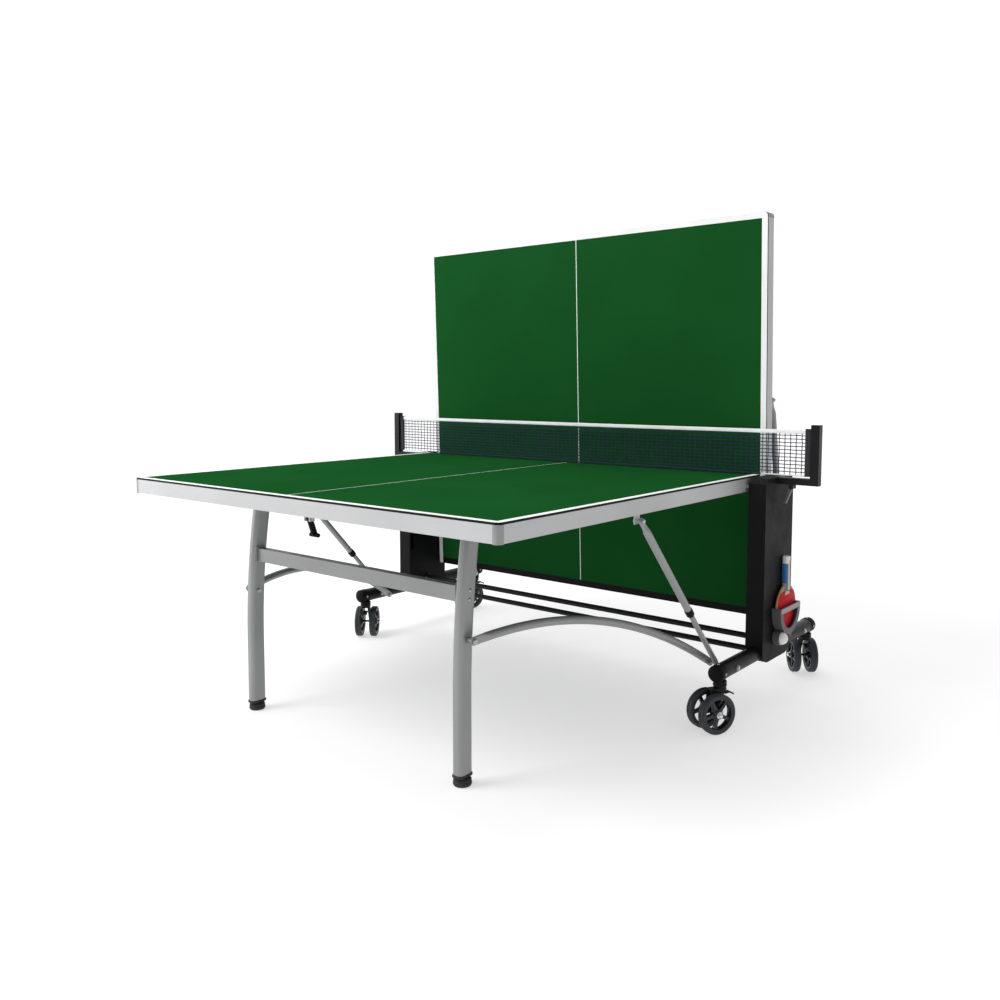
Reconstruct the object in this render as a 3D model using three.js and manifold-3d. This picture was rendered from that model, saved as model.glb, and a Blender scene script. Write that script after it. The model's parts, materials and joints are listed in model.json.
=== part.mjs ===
// A playback ping pong table on a rolling undercarriage, in millimetres, +Z up.
// The front half lies flat for play and the rear half stands upright behind the net.
// X runs along the net, the front half points to -Y, and the floor is at z = 0.
import * as THREE from 'three';
import { mergeVertices } from 'three/addons/utils/BufferGeometryUtils.js';
import Module from 'manifold-3d';

const wasm = await Module();
wasm.setup();

// ---------------------------------------------------------------- driving dimensions
const gap = 0.3;                    // between pieces that touch

const tableWidth = 1525;            // along the net
const halfLength = 1365;            // one half, from its net edge to its end
const netEdgeGap = 5;               // from the net plane to the net edge of a half
const surfaceHeight = 760;
const boardThickness = 6;
const boardCorner = 14;

const apronHeight = 43;
const apronSkin = 1.6;
const apronFlange = 20;
const beamDepth = 20;
const beamWidth = 34;
const beamWall = 1.6;
const beamPitches = [327.6, 278];   // between the beams, from the net to the leg pivot

const pinFromNet = 94;              // hinge pin of a half, in the casing's slot
const pinBelowSurface = 30;
const pinDiameter = 10;
const uprightAngle = 92.1;          // degrees that a half turns from play to upright

const legSpacing = 900;
const legWidth = 34;                // along the net
const legDepth = 52;
const legWall = 2;
const legCorner = 13;
const legBendStart = 240;           // height where the leg starts to lean to the net
const legPivotFromEnd = 268;
const legLean = 40;                 // from the foot to the pivot, towards the net
const legTopLean = 2.7;             // from the pivot to the leg's top
const legPivotHeight = 698;
const legTopAbovePivot = 16;
const legHangAngle = 2;             // degrees that a stowed leg hangs away from the half
const legCrossbarHeight = 43;
const legCrossbarDepth = 25;
const legCrossbarCentre = 512;
const footHeight = 28;
const footDiameter = 46;
const footPlug = 24;
const footChamfer = 4;

const boltDiameter = 8;
const boreClearance = 0.6;          // added to a bolt or pin diameter
const lugThickness = 4;
const lugHalfLength = 13;
const lugDrop = 14;                 // from a leg's bolt to the lower edge of its lugs
const lugClearance = 1;             // from a lug to what turns beside it

const railDiameter = 50;
const railWall = 2;
const railHalfLength = 375;
const railHeight = 180;

const braceDiameter = 24;
const braceWall = 1.5;
const braceOffLeg = 21;             // from the leg's side to the brace's centre line
const braceRise = 92;               // how far the brace arches above a straight line
const braceBoltHeight = 395;        // on the leg
const braceTube = 32;               // how much of a tab stands out of the brace's tube
const braceOffEye = 5;              // from the strut's eye to the brace's tube
const linkPivotFromNet = 275;       // bolt on the rail for the brace and the strut
const tabThickness = 6;
const tabWidth = 22;
const tabLength = 56;

const strutInset = 10.5;            // from the half's side to the strut's centre line
const strutFromLeg = 354;           // from the leg pivot to the strut's, towards the net
const strutPivotHeight = 689;
const strutLugDrop = 9;
const strutTubeDiameter = 22;
const strutTubeClearance = 1.4;     // between the rod and the tube's bore
const strutTubePlug = 8;            // closed end of the tube
const strutTubeEyeShoulder = 3;     // the tube's width less its eye's
const strutTubeLength = 430;
const strutRodDiameter = 12;
const strutRodLength = 520;
const rodEyeThickness = 8;
const rodEyeLength = 26;
const eyeGap = 2.5;                 // from the strut's eye to the bolts beside it

const casingClearance = 11.5;       // from the half's side to the casing
const railCover = [1, 9];           // casing beside the rail, on its inner and outer side
const casingHalfWidth = 112;
const casingUnderRail = 5;
const casingBelowSurface = 4;
const casingWall = 4;
const casingRound = 45;
const casingChamfer = 16;
const slotWidth = 14;
const shoeHeight = 26;
const shoeWidth = 18;
const shoeDepth = 11;
const shoePinReach = 14;            // into the half
const slotOverrun = 2;              // of a slot past the pin's travel
const slideClearance = 0.5;

const crossTubeDiameter = 20;
const crossTubeWall = 1.5;
const crossTubeFlange = 7;          // around the tube, at its ends
const crossTubeFlangeThickness = 4;
const upperCrossTubeHeight = 206;
const lowerCrossTubeHeight = 162;

const casterFromRailEnd = 28;
const casterTrail = 32;             // from the swivel axis to the wheels' axle
const wheelDiameter = 125;
const wheelWidth = 26;
const wheelFromMiddle = 30;
const axleDiameter = 8;
const axleNutWidth = 14;
const axleNutThickness = 6;
const wheelShoulder = 6;            // rounding of the tread, along the axle
const wheelShoulderDrop = 5;        // and towards the axle
const forkPlate = 3;
const forkOverWheel = 8;
const forkEyeRadius = 11;
const yokeThickness = 4;
const forkGap = 4;                  // from a fork plate to a wheel
const swivelDiameter = 32;
const casterTurns = { front_right: 153, rear_right: 37, front_left: 37, rear_left: 153 };

const netHeight = 152.5;            // above the playing surface
const netAboveSurface = 1;
const netThickness = 3;
const postBeyondCasing = 130;       // from the casing to a post's outer side
const postWidth = 28;
const postDepth = 26;
const postAboveNet = 17;
const armHeight = 22;
const netLeverLength = 57;          // height of the lever
const netLeverReach = 41;           // from the casing to the lever's bolt
const netLeverDrop = 7;             // from the arm's underside to the lever's bolt
const netLeverBolt = 6;
const netLeverEye = 6;              // radius of the lever's end round its bolt
const netLeverTip = 9;              // width of the lever's free end
const netLugThickness = 5;

const batLength = 252;
const batHeadWidth = 150;
const batHeadLength = 158;
const batThickness = 12;
const batHandleWidth = 28;
const batHandleThickness = 22;
const batHandleCorner = 7;
const batHandleOverlap = 22;        // of the handle on the blade
const batCentre = 40;               // towards the rear, from the net plane
const batBottom = 236;
const ballDiameter = 40;
const ballBelowBat = 14;            // from the bat's lower edge to the ball's centre
const ballInset = 22;               // from the bat's side to the ball's centre
const holderThickness = 30;
const holderRim = 9;
const holderBack = 3;
const holderPocketHeight = 88;
const strapHeight = 18;
const cupWall = 4;
const cupDepth = 22;
const buttonDiameter = 20;
const buttonFromBat = 18;           // from the bat's middle line
const buttonDepth = 24;
const holderFootDepth = 10;
const holderWindowEdge = 12;        // from the bat's edge to the window's

const leverLength = 52;             // release lever under each end apron
const leverFromMiddle = 65;
const leverFromEnd = 42;
const leverDrop = 10;               // from the apron's underside to the lever's bolt
const leverLug = 9;                 // half the length of a lug that holds the lever
const leverThickness = 8;
const leverWidth = 16;
const leverLean = 18;               // of its lower end towards the net
const leverGrip = 34;
const leverGripDiameter = 12;
const leverLugSpacing = 16;

// ---------------------------------------------------------------- materials
const makeMaterial = (color, roughness, metalness) =>
  new THREE.MeshStandardMaterial({ color, roughness, metalness });
const materials = {
  board: makeMaterial(0x1f5a2b, 0.45, 0),
  apron: makeMaterial(0xb9bbbd, 0.4, 0.6),
  leg: makeMaterial(0xa8a9ab, 0.4, 0.6),
  steel: makeMaterial(0x8d8f92, 0.35, 0.8),
  black: makeMaterial(0x17181a, 0.45, 0.4),
  plastic: makeMaterial(0x1b1c1e, 0.55, 0),
  rubber: makeMaterial(0x151515, 0.85, 0),
  grey: makeMaterial(0x6f7174, 0.5, 0),
  net: makeMaterial(0x1c2a52, 0.8, 0),
  red: makeMaterial(0xb3161e, 0.7, 0),
  white: makeMaterial(0xf2f2ee, 0.4, 0),
};

// ---------------------------------------------------------------- solids
const V = (x, y, z) => new THREE.Vector3(x, y, z);
const radians = THREE.MathUtils.degToRad;
const alongX = new THREE.Matrix4().makeBasis(V(0, 1, 0), V(0, 0, 1), V(1, 0, 0));

function solid(geometry) {
  const bare = geometry.clone();
  bare.deleteAttribute('normal');
  bare.deleteAttribute('uv');
  const merged = mergeVertices(bare.index ? bare.toNonIndexed() : bare, 1e-4);
  return new wasm.Manifold(new wasm.Mesh({
    numProp: 3,
    vertProperties: new Float32Array(merged.attributes.position.array),
    triVerts: new Uint32Array(merged.index.array),
  }));
}

function geometryOf(manifold) {
  const result = manifold.getMesh();
  const geometry = new THREE.BufferGeometry();
  geometry.setAttribute('position', new THREE.BufferAttribute(result.vertProperties, 3));
  geometry.setIndex(new THREE.BufferAttribute(result.triVerts, 1));
  geometry.computeVertexNormals();
  return geometry;
}

const join = (...pieces) => pieces.map(solid).reduce((whole, piece) => whole.add(piece));
const cut = (whole, ...pieces) => pieces.map(solid).reduce((rest, piece) => rest.subtract(piece), whole);

function addMesh(parent, name, shape, material) {
  const geometry = shape.isBufferGeometry ? shape : geometryOf(shape);
  const mesh = new THREE.Mesh(geometry, material);
  mesh.name = name;
  parent.add(mesh);
  return mesh;
}

// A box between two opposite corners.
function block(x0, x1, y0, y1, z0, z1) {
  return new THREE.BoxGeometry(Math.abs(x1 - x0), Math.abs(y1 - y0), Math.abs(z1 - z0))
    .translate((x0 + x1) / 2, (y0 + y1) / 2, (z0 + z1) / 2);
}

// A round bar between two points.
function bar(start, end, diameter, sides = 16) {
  const length = start.distanceTo(end);
  const geometry = new THREE.CylinderGeometry(diameter / 2, diameter / 2, length, sides);
  const turn = new THREE.Quaternion().setFromUnitVectors(V(0, 1, 0), end.clone().sub(start).normalize());
  const middle = start.clone().add(end).multiplyScalar(0.5);
  return geometry.applyQuaternion(turn).translate(middle.x, middle.y, middle.z);
}

function ring(outer, inner) {
  const shape = new THREE.Shape().absarc(0, 0, outer / 2, 0, 2 * Math.PI);
  shape.holes.push(new THREE.Path().absarc(0, 0, inner / 2, 0, 2 * Math.PI));
  return shape;
}

function roundedRectangle(width, height, radius) {
  const x = width / 2 - radius;
  const y = height / 2 - radius;
  return new THREE.Shape()
    .absarc(x, y, radius, 0, Math.PI / 2)
    .absarc(-x, y, radius, Math.PI / 2, Math.PI)
    .absarc(-x, -y, radius, Math.PI, 1.5 * Math.PI)
    .absarc(x, -y, radius, 1.5 * Math.PI, 2 * Math.PI);
}

function hollow(outline, inner) {
  outline.holes.push(inner);
  return outline;
}

function sweep(shape, path, steps, curveSegments) {
  return new THREE.ExtrudeGeometry(shape, { steps, curveSegments, extrudePath: path, bevelEnabled: false });
}

// A shape drawn in Y and Z, given a thickness along X from x0.
function plate(shape, x0, thickness, curveSegments = 6) {
  return new THREE.ExtrudeGeometry(shape, { depth: thickness, curveSegments, bevelEnabled: false })
    .applyMatrix4(alongX).translate(x0, 0, 0);
}

// A straight tube along X.
function tubeAlongX(x0, x1, y, z, outer, wall) {
  return plate(ring(outer, outer - 2 * wall), x0, x1 - x0, 8).translate(0, y, z);
}

// A flat tab with a round end at `eye`, reaching towards `other` in the Y-Z plane.
function tab(eye, other, x0, thickness, width, length, bored = true) {
  const shape = new THREE.Shape()
    .absarc(0, 0, width / 2, Math.PI / 2, 1.5 * Math.PI)
    .lineTo(length, -width / 2)
    .lineTo(length, width / 2);
  const boreRadius = (boltDiameter + boreClearance) / 2;
  if (bored) shape.holes.push(new THREE.Path().absarc(0, 0, boreRadius, 0, 2 * Math.PI));
  const angle = Math.atan2(other.z - eye.z, other.y - eye.y);
  return plate(shape, x0, thickness, 5).rotateX(angle).translate(0, eye.y, eye.z);
}

// A group that turns about an axis along X through (y, z); what it holds keeps its own coordinates.
function hinge(parent, y, z, degrees) {
  const outer = new THREE.Group();
  outer.position.set(0, y, z);
  outer.rotation.x = radians(degrees);
  const inner = new THREE.Group();
  inner.position.set(0, -y, -z);
  outer.add(inner);
  parent.add(outer);
  return inner;
}

// ---------------------------------------------------------------- levels and places
const boardBottom = surfaceHeight - boardThickness;
const apronTop = boardBottom - gap;
const apronBottom = apronTop - apronHeight;
const beamTop = apronTop - apronSkin;
const beamBottom = beamTop - beamDepth;
const sideX = tableWidth / 2;
const endY = netEdgeGap + halfLength;
const pinHeight = surfaceHeight - pinBelowSurface;
const casingInner = sideX + casingClearance;
const casingThickness = railCover[0] + railDiameter + railCover[1];
const casingOuter = casingInner + casingThickness;
const casingBottom = railHeight - railDiameter / 2 - casingUnderRail;
const casingTop = surfaceHeight - casingBelowSurface;
const railX = casingInner + railCover[0] + railDiameter / 2;
const legX = legSpacing / 2;
const braceX = legX + legWidth / 2 + braceOffLeg;
const strutX = sideX - strutInset;
const legTop = legPivotHeight + legTopAbovePivot;
const legPivotFromNet = endY - legPivotFromEnd;
const legFootFromNet = legPivotFromNet + legLean;
const strutPivotFromNet = legPivotFromNet - strutFromLeg;
const braceEndX = strutX - rodEyeThickness / 2 - braceDiameter / 2 - braceOffEye;
const wheelRadius = wheelDiameter / 2;
const leverPivot = { y: endY - leverFromEnd, z: apronBottom - leverDrop };
const netLeverPivot = { x: casingOuter + netLeverReach, z: casingTop - armHeight - netLeverDrop };
const beamCentres = [
  legPivotFromNet - beamPitches[1] - beamPitches[0],
  legPivotFromNet - beamPitches[1],
  legPivotFromNet,
];
// The bays between the beams of a half, as ranges of distance from the net.
const bays = [
  [netEdgeGap + apronFlange, beamCentres[0] - beamWidth / 2],
  [beamCentres[0] + beamWidth / 2, beamCentres[1] - beamWidth / 2],
  [beamCentres[1] + beamWidth / 2, beamCentres[2] - beamWidth / 2],
  [beamCentres[2] + beamWidth / 2, leverPivot.y - leverLug],
];

const legPath = new THREE.CurvePath();
legPath.add(new THREE.LineCurve3(V(0, legFootFromNet, footHeight), V(0, legFootFromNet, legBendStart)));
legPath.add(new THREE.QuadraticBezierCurve3(
  V(0, legFootFromNet, legBendStart),
  V(0, legFootFromNet, (legBendStart + legTop) / 2),
  V(0, legPivotFromNet - legTopLean, legTop),
));

// Where the leg's centre line is at a height.
function legLineAt(height) {
  const points = legPath.getSpacedPoints(200);
  return points.reduce((best, p) => (Math.abs(p.z - height) < Math.abs(best.z - height) ? p : best)).y;
}

// ---------------------------------------------------------------- the folding linkage
// Every angle is in degrees and turns from +Y towards +Z about the X axis.
const turned = (y, z, degrees) => {
  const c = Math.cos(radians(degrees));
  const s = Math.sin(radians(degrees));
  return { y: y * c - z * s, z: y * s + z * c };
};
const heading = (from, to) => THREE.MathUtils.radToDeg(Math.atan2(to.z - from.z, to.y - from.y));
const spread = (a, b) => Math.hypot(a.y - b.y, a.z - b.z);

const pin = { y: pinFromNet, z: pinHeight };
const legPivot = { y: legPivotFromNet, z: legPivotHeight };
const braceBolt = { y: legLineAt(braceBoltHeight), z: braceBoltHeight };
const linkPivot = { y: linkPivotFromNet, z: railHeight };
const strutPivot = { y: strutPivotFromNet, z: strutPivotHeight };

// Places on an upright half, before the pin drops in its slot.
const raised = (point) => {
  const arm = turned(point.y - pin.y, point.z - pin.z, uprightAngle);
  return { y: pin.y + arm.y, z: pin.z + arm.z };
};
const raisedLeg = raised(legPivot);
const boltArm = turned(braceBolt.y - legPivot.y, braceBolt.z - legPivot.z, legHangAngle);
const raisedBolt = { y: raisedLeg.y + boltArm.y, z: raisedLeg.z + boltArm.z };
// The pin drops until the brace, which keeps its length, reaches its bolt on the stowed leg.
const braceReach = spread(linkPivot, braceBolt);
const slideDrop = raisedBolt.z - linkPivot.z - Math.sqrt(braceReach ** 2 - (raisedBolt.y - linkPivot.y) ** 2);
const stowedBolt = { y: raisedBolt.y, z: raisedBolt.z - slideDrop };
const braceTurn = heading(linkPivot, stowedBolt) - heading(linkPivot, braceBolt);
const raisedStrut = raised(strutPivot);
const stowedStrut = { y: raisedStrut.y, z: raisedStrut.z - slideDrop };
const strutTurn = heading(linkPivot, stowedStrut) - heading(linkPivot, strutPivot) - uprightAngle;
const strutExtension = spread(linkPivot, stowedStrut) - spread(linkPivot, strutPivot);

// Where the moving pieces turn and how far, for whoever drives the joints.
export const linkage = {
  uprightAngle,
  slideDrop,
  legTurn: legHangAngle - uprightAngle,
  braceTurn,
  strutTurn,
  strutExtension,
  strutHeading: heading(linkPivot, strutPivot),
  pin,
  legPivot,
  linkPivot,
  strutPivot,
  leverPivot,
  netLeverPivot,
  bays,
  legX,
  legFootFromNet,
  surfaceHeight,
  boardBottom,
  apronBottom,
};

// ---------------------------------------------------------------- pieces of one half
// They are drawn where they are in play, with the half pointing to +Y.
function boardOutline(inset) {
  const x = sideX - inset;
  const radius = Math.max(boardCorner - inset, 1);
  const end = endY - inset;
  return new THREE.Shape()
    .moveTo(-x, netEdgeGap + inset)
    .lineTo(x, netEdgeGap + inset)
    .absarc(x - radius, end - radius, radius, 0, Math.PI / 2)
    .absarc(-x + radius, end - radius, radius, Math.PI / 2, Math.PI);
}

function layer(shape, bottom, thickness) {
  return new THREE.ExtrudeGeometry(shape, { depth: thickness, curveSegments: 4, bevelEnabled: false })
    .translate(0, 0, bottom);
}

const makeBoard = () => layer(boardOutline(0), boardBottom, boardThickness);

function makeApronFrame() {
  const skin = layer(hollow(boardOutline(0), boardOutline(apronSkin)), apronBottom, apronHeight);
  const flange = () => hollow(boardOutline(0), boardOutline(apronFlange));
  const pieces = [skin, layer(flange(), apronBottom, apronSkin), layer(flange(), beamTop, apronSkin)];
  const beamReach = sideX - apronSkin / 2;
  for (const y of beamCentres) {
    const half = beamWidth / 2;
    pieces.push(block(-beamReach, beamReach, y - half, y + half, beamBottom, beamBottom + beamWall));
    for (const side of [-1, 1]) {
      pieces.push(block(-beamReach, beamReach, y + side * half, y + side * (half - beamWall),
        beamBottom, beamTop + apronSkin / 2));
    }
  }
  // Lugs with a bolt for each leg, and for each strut.
  for (const side of [-1, 1]) {
    for (const way of [-1, 1]) {
      const face = side * legX + way * (legWidth / 2 + lugClearance);
      pieces.push(block(face, face + way * lugThickness, legPivotFromNet - lugHalfLength,
        legPivotFromNet + lugHalfLength, legPivotHeight - lugDrop, beamBottom + beamWall));
    }
    const boltEnd = legWidth / 2 + lugClearance + lugThickness / 2;
    pieces.push(bar(V(side * legX - boltEnd, legPivotFromNet, legPivotHeight),
      V(side * legX + boltEnd, legPivotFromNet, legPivotHeight), pinDiameter, 12));
    const strutFace = side * (strutX - strutTubeDiameter / 2 - lugClearance);
    const lugNear = strutPivotFromNet - lugHalfLength;
    const lugFar = strutPivotFromNet + lugHalfLength;
    pieces.push(block(strutFace, strutFace - side * lugThickness, lugNear, lugFar,
      strutPivotHeight - strutLugDrop, apronBottom + apronSkin));
    pieces.push(block(strutFace, side * (sideX - apronFlange / 2), lugNear, lugFar,
      apronBottom, apronBottom + apronSkin));
    pieces.push(bar(V(strutFace - side * lugThickness / 2, strutPivotFromNet, strutPivotHeight),
      V(side * (strutX + rodEyeThickness / 2), strutPivotFromNet, strutPivotHeight), boltDiameter, 12));
  }
  // Lugs and bolt of the release lever.
  for (const way of [-1, 1]) {
    const face = -leverFromMiddle + way * leverLugSpacing / 2;
    pieces.push(block(face, face + way * lugThickness, leverPivot.y - leverLug, leverPivot.y + leverLug,
      leverPivot.z - leverLug, apronBottom + apronSkin));
  }
  const leverPlate = leverLugSpacing / 2 + lugThickness;
  pieces.push(block(-leverFromMiddle - leverPlate, -leverFromMiddle + leverPlate, leverPivot.y - leverLug,
    endY - apronFlange / 2, apronBottom, apronBottom + apronSkin));
  const leverBolt = leverLugSpacing / 2 + lugThickness / 2;
  pieces.push(bar(V(-leverFromMiddle - leverBolt, leverPivot.y, leverPivot.z),
    V(-leverFromMiddle + leverBolt, leverPivot.y, leverPivot.z), boltDiameter, 12));
  const bores = [-1, 1].map((side) => bar(V(side * (sideX - shoePinReach), pin.y, pin.z),
    V(side * casingInner, pin.y, pin.z), pinDiameter + boreClearance));
  return cut(join(...pieces), ...bores);
}

function makeLeg(x) {
  const section = hollow(
    roundedRectangle(legDepth, legWidth, legCorner),
    roundedRectangle(legDepth - 2 * legWall, legWidth - 2 * legWall, legCorner - legWall),
  );
  const tube = solid(sweep(section, legPath, 6, 2).translate(x, 0, 0));
  const across = (point, diameter) =>
    bar(V(x - legWidth, point.y, point.z), V(x + legWidth, point.y, point.z), diameter, 12);
  return cut(tube, across(legPivot, pinDiameter + boreClearance));
}

function makeLegCrossbar() {
  const reach = legX - legWidth / 2 - gap;
  const y = legLineAt(legCrossbarCentre);
  const outer = block(-reach, reach, y - legCrossbarDepth / 2, y + legCrossbarDepth / 2,
    legCrossbarCentre - legCrossbarHeight / 2, legCrossbarCentre + legCrossbarHeight / 2);
  const innerDepth = legCrossbarDepth / 2 - legWall;
  const inner = block(-reach - 1, reach + 1, y - innerDepth, y + innerDepth,
    legCrossbarCentre - legCrossbarHeight / 2 + legWall, legCrossbarCentre + legCrossbarHeight / 2 - legWall);
  return cut(solid(outer), inner);
}

function makeFoot(x) {
  const radius = footDiameter / 2;
  const edge = footChamfer;
  const pad = new THREE.LatheGeometry([
    new THREE.Vector2(0, 0),
    new THREE.Vector2(radius - edge, 0),
    new THREE.Vector2(radius, edge),
    new THREE.Vector2(radius, footHeight - gap - edge),
    new THREE.Vector2(radius - edge, footHeight - gap),
    new THREE.Vector2(0, footHeight - gap),
  ], 20).rotateX(Math.PI / 2);
  const fit = legWall + slideClearance;
  const plug = new THREE.ExtrudeGeometry(
    roundedRectangle(legWidth - 2 * fit, legDepth - 2 * fit, legCorner - fit),
    { depth: footPlug + edge, curveSegments: 2, bevelEnabled: false },
  ).translate(0, 0, footHeight - edge);
  return geometryOf(join(pad, plug)).translate(x, legFootFromNet, 0);
}

function makeBrace(side) {
  const start = V(side * braceX, braceBolt.y, braceBolt.z);
  const end = V(side * braceEndX, linkPivot.y, linkPivot.z);
  const control = start.clone().add(end).multiplyScalar(0.5).add(V(0, 0, 2 * braceRise));
  const whole = new THREE.QuadraticBezierCurve3(start, control, end);
  const trim = braceTube / whole.getLength();
  const path = new THREE.CatmullRomCurve3(
    Array.from({ length: 9 }, (_, i) => whole.getPointAt(trim + (i / 8) * (1 - 2 * trim))),
  );
  const tube = sweep(ring(braceDiameter, braceDiameter - 2 * braceWall), path, 9, 4);
  const plateCentre = (x) => x - tabThickness / 2;
  const nearLeg = whole.getPointAt(2 * trim);
  const nearRail = whole.getPointAt(1 - 2 * trim);
  const atLeg = tab(start, nearLeg, plateCentre(side * braceX), tabThickness, tabWidth, tabLength);
  const atRail = tab(end, nearRail, plateCentre(side * braceEndX), tabThickness, tabWidth, tabLength, false);
  const stub = bar(V(side * (braceEndX - tabThickness), linkPivot.y, linkPivot.z),
    V(side * (strutX - rodEyeThickness / 2 - eyeGap), linkPivot.y, linkPivot.z), boltDiameter, 12);
  return join(tube, atLeg, atRail, stub);
}

function strutLine(side, distance) {
  const angle = radians(linkage.strutHeading);
  return V(side * strutX, linkPivot.y + distance * Math.cos(angle), linkPivot.z + distance * Math.sin(angle));
}

function makeStrutRod(side) {
  const start = rodEyeLength - strutRodDiameter;
  const rod = bar(strutLine(side, start), strutLine(side, strutRodLength), strutRodDiameter);
  const eyeX = side * strutX - rodEyeThickness / 2;
  const eye = tab(linkPivot, strutPivot, eyeX, rodEyeThickness, tabWidth, rodEyeLength);
  return join(rod, eye);
}

function makeStrutTube(side) {
  const reach = spread(linkPivot, strutPivot);
  const far = reach - tabWidth;
  const near = reach - strutTubeLength;
  const tube = solid(bar(strutLine(side, near), strutLine(side, far), strutTubeDiameter));
  const bored = cut(tube, bar(strutLine(side, near - strutTubePlug), strutLine(side, far - strutTubePlug),
    strutRodDiameter + strutTubeClearance));
  const eye = tab(strutPivot, linkPivot, side * strutX - rodEyeThickness / 2, rodEyeThickness,
    strutTubeDiameter - strutTubeEyeShoulder, rodEyeLength);
  return bored.add(solid(eye));
}

function makeShoe(side) {
  const inner = casingInner + casingWall + slideClearance;
  const neck = slotWidth / 2 - slideClearance;
  const slider = block(side * inner, side * (inner + shoeDepth), pin.y - shoeWidth / 2, pin.y + shoeWidth / 2,
    pin.z - shoeHeight / 2, pin.z + shoeHeight / 2);
  const bridge = block(side * (sideX + gap), side * (inner + 1), pin.y - neck, pin.y + neck,
    pin.z - neck, pin.z + neck);
  const stub = bar(V(side * (sideX - shoePinReach), pin.y, pin.z), V(side * (sideX + neck), pin.y, pin.z),
    pinDiameter);
  return join(slider, bridge, stub);
}

function makeReleaseLever() {
  const x = -leverFromMiddle;
  const tip = { y: leverPivot.y - leverLean, z: leverPivot.z - leverLength };
  const arm = tab(leverPivot, tip, x - leverThickness / 2, leverThickness, leverWidth, leverLength);
  const away = radians(heading(leverPivot, tip));
  const gripY = leverPivot.y + leverLength * Math.cos(away);
  const gripZ = leverPivot.z + leverLength * Math.sin(away);
  const grip = bar(V(x - leverGrip / 2, gripY, gripZ), V(x + leverGrip / 2, gripY, gripZ),
    leverGripDiameter, 12);
  return join(arm, grip);
}

// ---------------------------------------------------------------- one half, at play or upright
function makeHalf(end, heading180, upright) {
  const half = new THREE.Group();
  half.rotation.z = heading180 ? Math.PI : 0;
  const sideName = (side) => ((heading180 ? -side : side) > 0 ? 'right' : 'left');
  const name = (piece, side) => (side ? `${end}_${piece}_${sideName(side)}` : `${end}_${piece}`);
  const fold = upright ? 1 : 0;

  const slide = new THREE.Group();
  slide.position.z = -slideDrop * fold;
  half.add(slide);
  const panel = hinge(slide, pin.y, pin.z, uprightAngle * fold);
  const legs = hinge(panel, legPivot.y, legPivot.z, linkage.legTurn * fold);
  const braces = hinge(half, linkPivot.y, linkPivot.z, braceTurn * fold);
  const tubes = hinge(panel, strutPivot.y, strutPivot.z, linkage.strutTurn * fold);
  const rods = new THREE.Group();
  const angle = radians(linkage.strutHeading);
  rods.position.set(0, -Math.cos(angle), -Math.sin(angle)).multiplyScalar(strutExtension * fold);
  tubes.add(rods);

  addMesh(panel, name('board'), makeBoard(), materials.board);
  addMesh(panel, name('apron_frame'), makeApronFrame(), materials.apron);
  addMesh(panel, name('release_lever'), makeReleaseLever(), materials.plastic);
  addMesh(legs, name('leg_crossbar'), makeLegCrossbar(), materials.leg);
  for (const side of [-1, 1]) {
    addMesh(slide, name('slide_shoe', side), makeShoe(side), materials.steel);
    addMesh(legs, name('leg', side), makeLeg(side * legX), materials.leg);
    addMesh(legs, name('foot', side), makeFoot(side * legX), materials.rubber);
    addMesh(braces, name('brace', side), makeBrace(side), materials.leg);
    addMesh(rods, name('strut_rod', side), makeStrutRod(side), materials.steel);
    addMesh(tubes, name('strut_tube', side), makeStrutTube(side), materials.leg);
  }
  return half;
}

// ---------------------------------------------------------------- undercarriage
function makeRail(side) {
  const section = ring(railDiameter, railDiameter - 2 * railWall);
  const options = { depth: 2 * railHalfLength, curveSegments: 12, bevelEnabled: false };
  const tube = new THREE.ExtrudeGeometry(section, options)
    .rotateX(Math.PI / 2).translate(side * railX, railHalfLength, railHeight);
  const bolts = [-1, 1].map((way) => bar(
    V(side * (railX - railDiameter / 2 + railWall / 2), way * linkPivotFromNet, railHeight),
    V(side * (strutX + rodEyeThickness / 2 + eyeGap), way * linkPivotFromNet, railHeight), boltDiameter, 12));
  return join(tube, ...bolts);
}

function casingOutline() {
  const w = casingHalfWidth;
  const r = casingRound;
  return new THREE.Shape()
    .moveTo(-w, casingTop - casingChamfer)
    .lineTo(-w, casingBottom + r)
    .absarc(-w + r, casingBottom + r, r, Math.PI, 1.5 * Math.PI)
    .absarc(w - r, casingBottom + r, r, 1.5 * Math.PI, 2 * Math.PI)
    .lineTo(w, casingTop - casingChamfer)
    .lineTo(w - casingChamfer, casingTop)
    .lineTo(-w + casingChamfer, casingTop);
}

function makeCasing(side) {
  const inner = side > 0 ? casingInner : -casingOuter;
  const body = solid(plate(casingOutline(), inner, casingThickness, 6));
  const wall = casingWall;
  const cavityBottom = railHeight + railDiameter / 2 + 2 * wall;
  const cavityHalf = casingHalfWidth - wall;
  const lowestPin = pin.z - slideDrop;
  const cavityX = Math.min(side * (casingInner + wall), side * (casingOuter - wall));
  const cavity = plate(new THREE.Shape()
    .moveTo(-cavityHalf, cavityBottom)
    .lineTo(cavityHalf, cavityBottom)
    .lineTo(cavityHalf, casingTop - casingChamfer - wall / 2)
    .lineTo(cavityHalf - casingChamfer + wall / 2, casingTop - wall)
    .lineTo(-cavityHalf + casingChamfer - wall / 2, casingTop - wall)
    .lineTo(-cavityHalf, casingTop - casingChamfer - wall / 2), cavityX, casingThickness - 2 * wall);
  const slots = [-1, 1].map((way) => block(side * (casingInner - 1), side * (casingInner + wall + 1),
    way * pin.y - slotWidth / 2, way * pin.y + slotWidth / 2, lowestPin - slotWidth / 2 - slotOverrun,
    pin.z + slotWidth / 2 + slotOverrun));
  const boreReach = casingHalfWidth + 1;
  const bore = bar(V(side * railX, -boreReach, railHeight), V(side * railX, boreReach, railHeight),
    railDiameter + slideClearance + gap, 24);
  return cut(body, cavity, ...slots, bore);
}

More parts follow.
